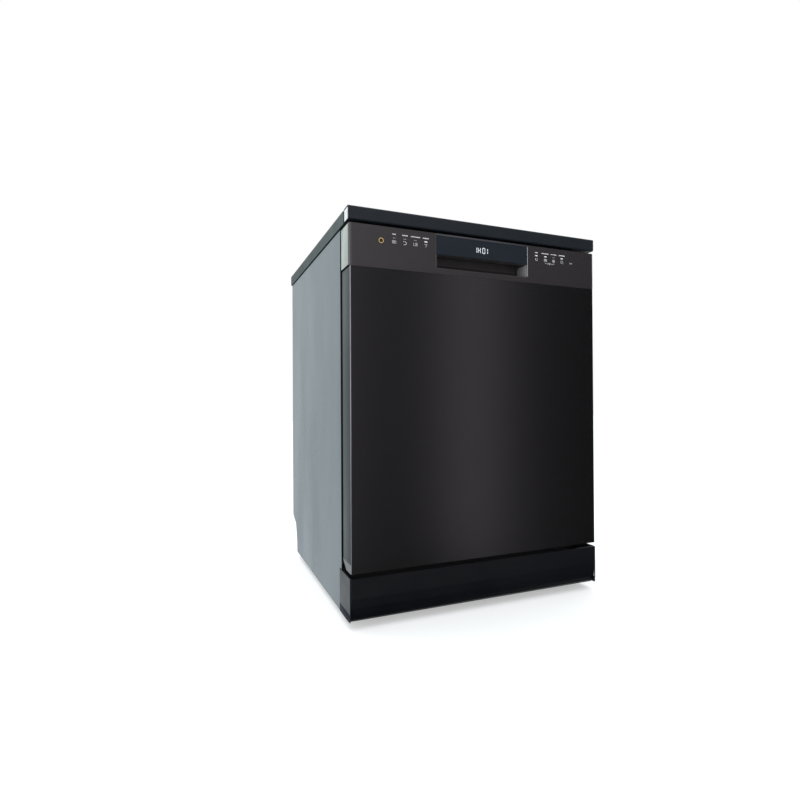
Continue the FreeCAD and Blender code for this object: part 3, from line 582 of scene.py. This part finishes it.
def upper_rack():
    half, front, back, top = 247.5, -221.5, 233.5, 567
    bed, cross, foot = 443, 446.4, 449.6
    paths = [(rim(-half, front, half, back, top), 2.6, True), (rim(-half, front, half, back, 505), 1.8, True)]
    for y in even(front + 24, back - 24, 13):
        bow = bent([(-half, y, top), (-half, y, bed), (half, y, bed), (half, y, top)], 30)
        paths.append((bow, 1.7, False))
    for x in even(-half + 24, half - 24, 13):
        bow = bent([(x, front, top), (x, front, cross), (x, back, cross), (x, back, top)], 26)
        paths.append((bow, 1.7, False))
    for x in (-110.5, 110.5):
        paths.append(([(x, front + 30, foot), (x, back - 30, foot)], TINE, False))
        for y in even(-192, 204, 15):
            paths.append((bent([(x, y, foot), (x, y, 499.0), (x + 0.01, y, 500)], 1), TINE, False))
    install("upper_rack_wires", wires(paths), "upper_rack", COATING, ["upper_rack"])
    inner = []
    for side in (-1, 1):
        strip = slab((side * 253.6 - 3.3, -224, 518), (side * 253.6 + 3.3, 236, 532))
        soften(strip, 1.2)
        inner.append(strip)
        for y in (-190, 0, 200):
            inner.append(turned((side * 251.2, y, 525), 5, 3.5, "x", 16))
    install("rail_inner_members", welded(inner), "upper_rack", TUB)
    grip = round_corners(slab((-80, -224, 556), (80, -217.5, 570)), 5, "y")
    install("upper_rack_grip", soften(grip, 1), "upper_rack", GREY)


def cup_shelf(name, side):
    """Cross wires in a hoop, with the thicker rod that the shelf folds about."""
    inner, outer, front, back, z = 141.5, 241.5, -168.5, 178.5, SHELF_HEIGHT
    x0, x1 = (inner, outer) if side > 0 else (-outer, -inner)
    middle, rod = (x0 + x1) / 2, side * 241
    paths = [(rim(x0, front, x1, back, z, 14), 1.5, True)]
    for y in even(-140, 150, 11):
        paths.append(([(x0, y, z), (x1, y, z)], 1.2, False))
    paths.append(([(middle, front, z), (middle, back, z)], 1.2, False))
    paths.append(([(rod, front - 1, z), (rod, back + 1, z)], 1.9, False))
    install(f"{name}_wires", wires(paths), name, COATING, [name])


def lower_rack():
    half, front, back, top = 246.5, -219.5, 241.5, 327
    bed, cross, foot, row, wire = 208, 211.5, 214.5, 21.5, 1.8
    paths = [(rim(-half, front, half, back, z), radius, True)
             for z, radius in ((top, 2.7), (286, wire), (246, wire))]
    for y in even(-196, back - 26, 13):
        bow = bent([(-half, y, top), (-half, y, bed), (half, y, bed), (half, y, top)], 20)
        paths.append((bow, wire, False))
    for x in even(-half + 22, half - 22, 14):
        bow = bent([(x, front, top), (x, front, 236), (x, -198, cross), (x, back, cross), (x, back, top)], 16)
        paths.append((bow, wire, False))
    paths.append(([(ROW_END, row, foot), (ROW_STOP, row, foot)], 1.5, False))
    for x in even(ROW_END + 1.5, ROW_STOP - 1.5, 12):
        paths.append((bent([(x, row, foot), (x, row, 279), (x, row - 0.1, 280)], 1), TINE, False))
    frame_wires = [wires(paths)]
    for side in (-1, 1):
        for y in WHEEL_PLACES:
            lug = side * 248
            frame_wires.append(turned((side * 256, y, WHEEL_HEIGHT), 3.95, 15.6, "x", 20))
            frame_wires.append(soften(slab((lug - 1.5, y - 9, 192), (lug + 1.5, y + 9, 216)), 1))
            frame_wires.append(turned((side * 263.2, y, WHEEL_HEIGHT), 6, 1.4, "x", 20))
    install("lower_rack_wires", welded(frame_wires), "lower_rack", COATING, ["lower_rack"])
    grip = round_corners(slab((-70, -222, 314), (70, -215.5, 330)), 6, "y")
    install("lower_rack_grip", soften(grip, 1), "lower_rack", GREY)


def folding_row(name, y):
    """Hairpin tines on a turning rod."""
    rod = 214
    paths = [([(ROW_END, y, rod), (ROW_STOP, y, rod)], 2.1, False)]
    for x in even(ROW_END + 1.7, ROW_STOP - 1.7, 12):
        paths.append((bent([(x, y, rod), (x, y, 280.5), (x, y - 0.01, 282)], 1), 1.5, False))
    install(f"{name}_wires", wires(paths), name, COATING, [name])


def roller(name, y, body):
    """Two rack wheels with a tread, a recessed web with round holes, and a hub."""
    x, z = WHEEL_X, WHEEL_HEIGHT
    hole_count, hole_circle = 6, 10.8
    wheel = turned((x, y, z), 18, 9, "x", 48)
    for normal in (-1, 1):
        pick(wheel, "FACE", lambda middle, facing: facing.x * normal > ALONG)
        bpy.ops.mesh.inset(thickness=3.2 * MM)
        bpy.ops.transform.translate(value=(-normal * 2.2 * MM, 0, 0))
        bpy.ops.mesh.inset(thickness=7.5 * MM)
        bpy.ops.mesh.inset(thickness=0.4 * MM)
        bpy.ops.transform.translate(value=(normal * 1.8 * MM, 0, 0))
    bare()
    soften(wheel, 0.5, 2)
    holes = []
    for n in range(hole_count):
        turn = math.radians(360 / hole_count * n)
        place = (x, y + hole_circle * math.cos(turn), z + hole_circle * math.sin(turn))
        holes.append(turned(place, 2.2, 20, "x", 12))
    cut(wheel, welded(holes))
    install(f"{name}_rollers", both_sides(wheel), body, GREY, [name])


def lattice_wall(width, height, columns, rows, thickness):
    """An open moulded wall standing in the XZ plane, centred on the origin."""
    bare()
    bpy.ops.mesh.primitive_grid_add(x_subdivisions=columns, y_subdivisions=rows, size=1, location=(0, 0, 0))
    wall = bpy.context.object
    wall.scale = (width * MM, height * MM, 1)
    settle(wall)
    wall.rotation_euler = (math.pi / 2, 0, 0)
    settle(wall)
    lattice = wall.modifiers.new("bars", "WIREFRAME")
    lattice.thickness = thickness * MM
    lattice.use_even_offset = False
    lattice.use_boundary = True
    bpy.ops.object.modifier_apply(modifier=lattice.name)
    return wall


def cutlery_basket():
    """Four open walls, an open floor, three partitions and a closed band round the top."""
    x0, y0, z0, x1, y1, z1 = 126, -194, 211.4, 237, 149, 329
    x, y, z = (x0 + x1) / 2, (y0 + y1) / 2, (z0 + z1) / 2
    wide, long, tall = x1 - x0, y1 - y0, z1 - z0
    across, sideways, flat = (0, 0, 0), (0, 0, math.pi / 2), (math.pi / 2, 0, 0)
    panels = [((x, end, z), across, (wide, tall - 4, 8, 8, 1.8)) for end in (y0, y1)]
    panels += [((end, y, z), sideways, (long, tall - 4, 24, 8, 1.8)) for end in (x0, x1)]
    panels.append(((x, y, z0 + 1), flat, (wide, long, 8, 24, 2.0)))
    panels += [((x, y0 + long * n / 4, z - 9), across, (wide, tall - 22, 6, 5, 1.6)) for n in (1, 2, 3)]
    parts = []
    for place, turn, sizes in panels:
        wall = lattice_wall(*sizes)
        wall.rotation_euler = turn
        wall.location = Vector(place) * MM
        settle(wall)
        parts.append(wall)
    band = slab((x0 - 1, y0 - 1, z1 - 7), (x1 + 1, y1 + 1, z1 + 1))
    hollow(round_corners(band, 5, "z", 4), 2.4, "z")
    parts.append(soften(band, 0.5, 1))
    install("cutlery_basket_open", welded(parts), "lower_rack", GREY, ["cutlery_basket"])


def spray_arm(name, low, reach, hub, width):
    """A moulded wing that thins towards its ends, with a domed hub and two rows of jets."""
    y = 10
    droop, end_step, jet_count = 3.0, 1, 6
    wing = slab((-reach, y - width, low + 1), (reach, y + width, low + 9.5))
    pick(wing, "EDGE", lambda middle, along: abs(along.x) > ALONG)
    bpy.ops.mesh.subdivide(number_cuts=9)
    bare()
    for vertex in wing.data.vertices:
        share = abs(vertex.co.x) / (reach * MM)
        narrow = 1 - 0.42 * share ** 1.5
        vertex.co.y = y * MM + (vertex.co.y - y * MM) * narrow
        if vertex.co.z > (low + 5) * MM:
            vertex.co.z -= droop * MM * share ** 2
    round_edges(wing, max(4, width * 0.45), 5,
                lambda middle, along: abs(along.z) > ALONG and abs(middle.x) > (reach - end_step) * MM)
    parts = [soften(wing, 1.6, 3)]
    dome = turned((0, y, low + 5.5), hub * 0.78, 11, "z", 40)
    parts.append(soften(dome, 2.4, 3))
    parts.append(soften(turned((0, y, low + 10.8), hub * 0.42, 2.6, "z", 24), 0.8))
    for side in (-1, 1):
        for step in range(jet_count):
            x = side * (hub + 12 + (reach - hub - 30) * step / (jet_count - 1))
            drop = droop * (abs(x) / reach) ** 2
            shift = (step % 2 * 2 - 1) * width * 0.28
            parts.append(hoop((x, y + shift, low + 9.7 - drop), 2.6, 1.0, "z", 14, 6))
    install(f"{name}_wing", welded(parts), name, GREY, [name])


upper_rack()
cup_shelf("cup_shelf_left", -1)
cup_shelf("cup_shelf_right", 1)
lower_rack()
folding_row("folding_tines_front", -80.5)
folding_row("folding_tines_rear", 119.5)
roller("lower_front_wheels", WHEEL_PLACES[0], "front_wheels")
roller("lower_rear_wheels", WHEEL_PLACES[1], "rear_wheels")
cutlery_basket()
spray_arm("lower_spray_arm", 168, 222, 30, 19)
spray_arm("middle_spray_arm", 420, 200, 27, 17)
spray_arm("top_spray_arm", 752, 140, 24, 15)


# Outside ----------------------------------------------------------------------------
FACE = -303.0           # the front of the door and the control panel
FRONT_EDGE = FACE * MM  # the same in metres, as the tests on edges see it
LAMP_LOW, LAMP_HIGH = 765.1, 766.9
BAR_WIDTHS, BAR_HEIGHTS, BAR_GAP = (1.5, 1.0, 2.0, 1.2, 1.7), (1.7, 2.1, 1.6, 2.0), 0.55


def worktop_ends():
    """A pale inlay in a dark moulded cap at both ends of the front trim; the inlay's pale grey is a painted
    reflection.
    """
    inlay = round_corners(slab((296.8, -298.6, 794.6), (298.8, -276.4, 816.6)), 1.2, "x", 3)
    install("end_cap_reflection_inlays", both_sides(inlay), "cabinet", REFLECTION_CAP, ["worktop_end_caps"])
    cap = slab((296.7, FACE, 793), (299, -273.2, 820))
    round_edges(cap, 2.8, 4, lambda middle, along: abs(along.x) > ALONG and middle.y < -0.30)
    sink(cap, 3.6, (-1.2, 0, 0), lambda middle, facing: facing.x > ALONG)
    soften(cap, 0.35, 2, 50)
    install("end_cap_frames", both_sides(cap), "cabinet", TRIM)


def panel_ends():
    """Bright flanks of the control panel (a painted reflection), dark flanks of the door, bright front edges
    of the door (a painted highlight), and black seals and lips of painted shade in the gap behind both."""
    # The panel's flanks are painted light: a painted reflection.
    flank = slab((297.3, -297.6, 705.2), (298.3, -250.5, 785))
    soften(flank, 0.4, 2)
    install("panel_end_sheen_flanks", both_sides(flank), "door", PAINTED_SHEEN)
    side = soften(slab((295.6, -300.8, 128), (296.7, -252.2, 702)), 0.4, 2)
    install("door_side_flanks", both_sides(side), "door", DOOR_SIDE)
    # Black strips in the side gaps behind the door stand in for the shade there: painted shade.
    gap_shade = slab((291.4, -243.6, 184), (295.9, -238.1, 789))
    lower = slab((291.4, -238.9, 119), (295.9, -238.1, 184.2))
    strip = welded([soften(gap_shade, 1.2, 3), soften(lower, 0.3, 2)])
    install("side_gap_shade_strips", both_sides(strip), "cabinet", SHADE_BLACK)
    # Black lips at the back of the door's and the panel's sides are painted shade in the gap.
    shade_lips = [soften(slab(low, high), 0.3, 2) for low, high in (
        ((295.6, -251.9, 128), (296.6, -247.4, 702)), ((297.2, -250.2, 704.5), (298.2, -244.4, 785)),
        ((295.9, -300, 702.4), (297.7, -245.8, 705)))]
    install("door_edge_shade_lips", both_sides(welded(shade_lips)), "door", SHADE_BLACK)
    # Bright beads on the door's and panel's front edges are a painted highlight.
    bead = slab((294.5, -303.06, 111.5), (296.1, -300.9, 702.6))
    round_edges(bead, 1.5, 5,
                lambda middle, along: abs(along.z) > ALONG and middle.x > 0.296 and middle.y < FRONT_EDGE)
    nose = wires([([(296.1, -301.5, 704.6), (296.1, -301.5, 785.4)], 0.85, False)], 3)
    install("front_edge_highlight_beads", both_sides(welded([bead, nose])), "door", EDGE)


def grip_end():
    """The curved right-hand end of the grip hollow, painted paler where it faces the light (painted light),
    and the bezel's right edge, painted bright (a painted highlight).
    """
    # This end wall is painted paler than the hollow: painted light.
    plate = slab((111.2, -301, 716.6), (112.4, -263, 743.2))
    round_edges(plate, 11, 6, lambda middle, along: abs(along.x) > ALONG and middle.y > -0.27)
    install("grip_end_plate", soften(plate, 0.4, 2), "door", LIT_END_GREY)
    # A light strip on the bezel's right edge: a painted highlight.
    line = slab((112.3, FACE - 0.3, 717), (113.2, FACE + 0.4, 783))
    install("bezel_edge_highlight", soften(line, 0.2, 2), "door", HIGHLIGHT_LINE)


def mark(x, z, wide, tall):
    """A thin printed bar, centred on x and z."""
    return slab((x - wide / 2, FACE - 0.10, z - tall / 2), (x + wide / 2, FACE + 0.15, z + tall / 2))


def stroke(points, wire=0.42, closed=False):
    """A thin printed line through points on the front, given as x and z."""
    return wires([([(x, FACE + 0.22, z) for x, z in points], wire, closed)])


def arc(x, z, radius, start, end, steps=10):
    turns = even(math.radians(start), math.radians(end), steps)
    return [(x + radius * math.cos(turn), z + radius * math.sin(turn)) for turn in turns]


def key_labels():
    """Rows of short bars stand where captions would be, with a simple sign under each."""
    prints = []
    rows = [(-204, 773.4, 8), (-181, 773.2, 12), (-158, 773, 20), (-134.7, 772.8, 14),
            (137, 772.8, 7.5), (160.6, 772.6, 19), (183.8, 772.6, 16), (206.9, 772.6, 17)]
    for x, z, wide in rows:
        place = x - wide / 2
        step = 0
        while place < x + wide / 2 - 0.4:
            bar = min(BAR_WIDTHS[step % 5], x + wide / 2 - place)
            prints.append(mark(place + bar / 2, z, bar, BAR_HEIGHTS[step % 4]))
            place += bar + BAR_GAP
            step += 1
    prints.append(stroke([(-208, 760.6), (-200.4, 760.6), (-200.4, 755.6), (-208, 755.6)], closed=True))
    prints += [stroke([(x, 756.8), (x, 759.6)]) for x in (-205.8, -204.2, -202.6)]
    prints.append(stroke([(-184.4, 761)] + arc(-181, 758, 3, 90, -90) + [(-183.8, 755)]))
    prints.append(stroke([(-162, 761), (-162, 755.4), (-159.6, 755.4)]))
    prints.append(stroke([(-157.8, 760.8), (-154, 760.8), (-154, 755.4), (-157.8, 755.4)], closed=True))
    prints.append(stroke([(-156, 757), (-156, 759.2)]))
    prints.append(stroke([(-138, 761), (-131.6, 761), (-134.2, 758.6), (-135, 755)]))
    prints.append(stroke(arc(137, 757.6, 2.8, 110, 430, 14)))
    prints.append(stroke([(158.2, 760.6), (165, 760.6), (165, 754.8), (158.2, 754.8)], closed=True))
    prints += [mark(161.6, z, 4.4, 1.0) for z in (759, 757.2)]
    prints.append(stroke(arc(183.8, 757.8, 2.9, 0, 360, 16)))
    prints.append(mark(183.8, 757.8, 1.6, 1.6))
    prints.append(stroke([(203.9, 760.6), (209.9, 760.6), (209.9, 755), (203.9, 755)], closed=True))
    prints.append(stroke([(206.9, 756.4), (206.9, 759.2)]))
    prints.append(stroke([(229.6, 759.2), (229.6, 755.6), (232.4, 757.4)], closed=True))
    prints.append(stroke([(235.4, 759.2), (235.4, 755.6)]))
    prints.append(stroke([(160.4, 752.4), (160.4, 750.8), (170.4, 750.8)]))
    prints.append(stroke([(175, 750.8), (185, 750.8), (185, 752.4)]))
    prints.append(stroke(arc(172.7, 751, 1.7, 0, 360, 12)))
    install("key_labels", welded(prints), "door", PRINT)


def lamps():
    """Four lit and four dark lamps, and the power key with its amber ring."""
    for name, places, finish in (("lamps_on", (-134.7, 137, 161.7, 206.9), LAMP),
                                 ("lamps_off", (-204, -181, -158, 183.8), LAMP_OFF)):
        lenses = []
        for x in places:
            lens = slab((x - 3.2, FACE - 0.12, LAMP_LOW), (x + 3.2, FACE + 0.9, LAMP_HIGH))
            lenses.append(soften(round_corners(lens, 0.6, "y", 3), 0.15, 1, 60))
        install(name, welded(lenses), "door", finish,
                ["indicator_lights"] if name == "lamps_on" else [])
    key_x, key_z = -231.5, 758.2
    key = turned((key_x, FACE + 0.5, key_z), 5.5, 0.9, "y", 48)
    sink(key, 1.6, (0, 0.25, 0), lambda middle, facing: facing.y < -ALONG)
    install("power_key", soften(key, 0.15, 2), "door", GRIP)
    ring = hoop((key_x, FACE + 0.25, key_z), 4.6, 0.62, "y", 40, 8)
    install("power_ring", ring, "door", AMBER)


def digits():
    """Seven-segment figures behind the display window."""
    shapes = {"1": "cf", "H": "bcefg", "0": "abcdef"}
    wide, tall, bar, gap, foot = 5.6, 11.4, 1.3, 0.9, 756.2
    parts = []
    for figure, x in (("1", -15.8), ("H", -9.6), ("0", 1.2), ("1", 10.6)):
        half = wide / 2
        spots = {"a": (0, tall, 1), "g": (0, tall / 2, 1), "d": (0, 0, 1), "f": (-half, tall * 0.75, 0),
                 "b": (half, tall * 0.75, 0), "e": (-half, tall * 0.25, 0), "c": (half, tall * 0.25, 0)}
        if figure == "1":
            spots["f"], spots["c"] = (0, tall * 0.75, 0), (0, tall * 0.25, 0)
        for segment in shapes[figure]:
            across, up, flat = spots[segment]
            long = (wide if flat else tall / 2) - gap
            size = (long, bar) if flat else (bar, long)
            parts.append(round_corners(mark(x + across, foot + up, *size), 0.45, "y", 1))
    install("display_figures", welded(parts), "door", LAMP)


def kick_ends():
    """A dark foot and a dark front edge on the kick plate's returns: painted shade."""
    foot = slab((297.0, -301.6, 17.2), (298.1, -226.6, 31))
    round_edges(foot, 3, 4, lambda middle, along: abs(along.x) > ALONG and middle.y < -0.30)
    front = slab((297.0, -302.4, 29), (297.9, -299.4, 100.5))
    strip = welded([soften(foot, 0.3, 2), soften(front, 0.3, 2)])
    install("kick_end_shade", both_sides(strip), "cabinet", KICK_SHADE)


worktop_ends()
panel_ends()
kick_ends()
grip_end()
key_labels()
lamps()
digits()


# Inside -----------------------------------------------------------------------------
def screw(x, y, z):
    """A domed cross-head screw on a face that looks along Y."""
    radius, reach, half = 3.6, 3.6 * 0.6, 0.45
    head = soften(turned((x, y + 1.0, z), radius, 2.4, "y", 20), 0.9, 3)
    low, high = y + 0.5, y + 2.3
    arms = [slab((x - reach, low, z - half), (x + reach, high, z + half)),
            slab((x - half, low, z - reach), (x + half, high, z + reach))]
    for arm in arms:
        cut(head, arm)
    return head


def screws(first, others):
    """The first screw and a copy of it at each other place, given as x, y and z."""
    head = screw(*first)
    return welded([head] + [copied(head, Vector(place) - Vector(first)) for place in others])


def pressed(low, high, corner, axis, edge=1.2):
    """A shallow pressing in sheet steel, with rounded corners and rolled edges."""
    return soften(round_corners(slab(low, high), corner, axis, 5), edge, 3)


def door_inside():
    """Pressed fields and screws of the inner door."""
    fields = [pressed((-224, -261.4, 212), (224, -259.2, 300), 16, "y"),
              pressed((-224, -261.4, 316), (224, -259.2, 404), 16, "y"),
              pressed((-224, -261.4, 420), (-98, -259.2, 560), 16, "y"),
              pressed((98, -261.4, 420), (224, -259.2, 560), 16, "y"),
              pressed((-224, -261.4, 578), (224, -259.2, 688), 16, "y")]
    install("liner_pressings", welded(fields), "door", TUB)
    first, *others = [(x, -246, z) for x in (-262, 262) for z in (262, 387, 512, 637, 752)]
    install("liner_screws", screws(first, others), "door", TUB)


def dispenser():
    """Rim, level window, ribbed sliding lid and grip cap of the detergent dispenser."""
    rim_plate = slab((-79, -259.6, 421), (79, -257.9, 559))
    hollow(round_corners(rim_plate, 8, "y", 5), 3.2, "y")
    window = soften(turned((58, -259.4, 446), 9, 1.6, "y", 32), 0.6, 2)
    bars = [soften(slab((2, -259.6, z), (38, -258.4, z + 2)), 0.5, 2) for z in (436, 442, 448, 454)]
    install("dispenser_rim", welded([soften(rim_plate, 0.5, 2), window] + bars), "door", GREY)
    lid = round_corners(slab((-73, -259.4, 471), (-1, -256.8, 549)), 7, "y", 5)
    sink(lid, 3, (0, -0.8, 0), lambda middle, facing: facing.y > ALONG)
    soften(lid, 0.4, 2)
    ribs = [soften(slab((-66 + 5 * n, -257.8, 484), (-64 + 5 * n, -255.9, 536)), 0.6, 2) for n in range(6)]
    catch = round_corners(slab((-24, -257.8, 500), (-10, -253.6, 520)), 4, "y", 4)
    install("dispenser_lid_ribbed", welded([lid, soften(catch, 0.8, 3)] + ribs), "dispenser_lid",
            GREY, ["dispenser_lid"])
    cap = soften(turned((-37, -258.0, 446), 17, 2.8, "y", 40), 0.8, 3)
    grip = round_corners(slab((-51, -257.2, 443), (-23, -252.7, 449)), 2.8, "y", 4)
    pointer = soften(slab((-38, -257.2, 455.5), (-36, -256.2, 461)), 0.4, 2)
    install("rinse_cap_grip", welded([cap, soften(grip, 0.8, 2), pointer]), "rinse_aid_cap",
            GREY, ["rinse_aid_cap"])


def tub_pressings():
    """Stiffening ribs rolled into the tub's side and rear walls."""
    ribs = []
    for y in (-185, -62, 62, 185):
        for low, high in ((196, 500), (552, 752)):
            ribs.append(pressed((277.6, y - 7, low), (279.7, y + 7, high), 6, "x"))
    side = both_sides(welded(ribs))
    rear = [pressed((x - 8, 259.6, 205), (x + 8, 262.2, 745), 7, "y") for x in (-215, -130, 130, 215)]
    install("tub_ribs", welded([side] + rear), "cabinet", TUB)


def filter_cage():
    """A ring and four finger studs on top of the turning filter."""
    x, y, stud_circle = 100, 25, 17
    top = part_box("filter_cylinder")[1][2] / MM
    parts = [hoop((x, y, top - 1.2), 24, 1.2, "z", 40, 8)]
    for angle in (45, 135, 225, 315):
        turn = math.radians(angle)
        place = (x + stud_circle * math.cos(turn), y + stud_circle * math.sin(turn), top - 0.2)
        parts.append(turned(place, 3, 1.6, "z", 16))
    install("filter_grip_ring", welded(parts), "filter_cylinder", GREY)


# Back and base ------------------------------------------------------------------------
def rear_details():
    """Pressed ribs, screws, vents and a blank plate on the rear panel."""
    ribs = [pressed((x - 11, 291.8, 170), (x + 11, 295.2, 745), 9, "y", 1.8) for x in (-205, -70, 70, 205)]
    ribs += [pressed((-262, 291.8, z - 9), (262, 294.4, z + 9), 8, "y", 1.6) for z in (300, 470)]
    install("rear_ribs", welded(ribs), "cabinet", GALVANISED)
    sides = [(x, z) for x in (-271, 271) for z in (150, 300, 450, 600, 772)]
    first, *others = [(x, 292.3, z) for x, z in sides + [(0, 772), (0, 135), (-140, 772), (140, 772)]]
    install("rear_screws", screws(first, others), "cabinet", BEZEL)
    # Black vent pressings stand in for the shade inside the openings: painted shade.
    vents = [pressed((x - 2.4, 291.9, 702), (x + 2.4, 293.0, 738), 2.2, "y", 0.4) for x in range(-48, 49, 8)]
    install("rear_vents", welded(vents), "cabinet", SHADE_BLACK)
    plate = pressed((108, 291.9, 560), (166, 292.9, 640), 4, "y", 0.3)
    install("rear_blank_plate", plate, "cabinet", BEZEL)


def connections():
    """Thread on the inlet, barbs on the drain, a hexagon round the cable gland, threads on the feet."""
    rings = [hoop((-242, y, 65), 13.0, 0.75, "y", 32, 6) for y in even(265, 280, 8)]
    collar = soften(turned((-242, 262.6, 65), 17, 3, "y", 6), 0.6, 2)
    install("inlet_thread", welded(rings + [collar]), "cabinet", GREY)
    barbs = [hoop((215, y, 65), 9.2, 0.9, "y", 28, 6) for y in (257, 263, 269)]
    install("drain_barbs", welded(barbs), "cabinet", BLACK)
    cleat_circle = 15
    nut = hoop((0, 253, 62), 12.4, 3.4, "y", 6, 8)
    install("gland_nut", soften(nut, 0.4, 2, 50), "cabinet", BLACK)
    for end, y in (("front", -180), ("rear", 200)):
        for side, x in (("left", -255), ("right", 255)):
            body = f"foot_{end}_{side}"
            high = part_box(body)[1][2] / MM
            turns = [hoop((x, y, z), 4.8, 0.6, "z", 16, 6) for z in even(22, high - 3, 14)]
            cleats = []
            for angle in range(0, 360, 45):
                turn = math.radians(angle)
                place = (x + cleat_circle * math.cos(turn), y + cleat_circle * math.sin(turn), 7.5)
                cleats.append(turned(place, 2.6, 8, "z", 10))
            install(f"{body}_thread", welded(turns + cleats), body, BLACK)


door_inside()
dispenser()
tub_pressings()
filter_cage()
rear_details()
connections()


# Ground --------------------------------------------------------------------------
bpy.ops.mesh.primitive_plane_add(size=24, location=(0, 0, 0))
ground = bpy.context.object
ground.name = "ground"
FLOOR = new_finish("pale_floor", (0.62, 0.62, 0.62), 0.75, Emission_Color=(1, 1, 1, 1),
                   Emission_Strength=0.40)
relief(FLOOR, noise(FLOOR, 40), 0.02, 0.001)
ground.data.materials.append(FLOOR)
ground.visible_glossy = False
ground.visible_shadow = False
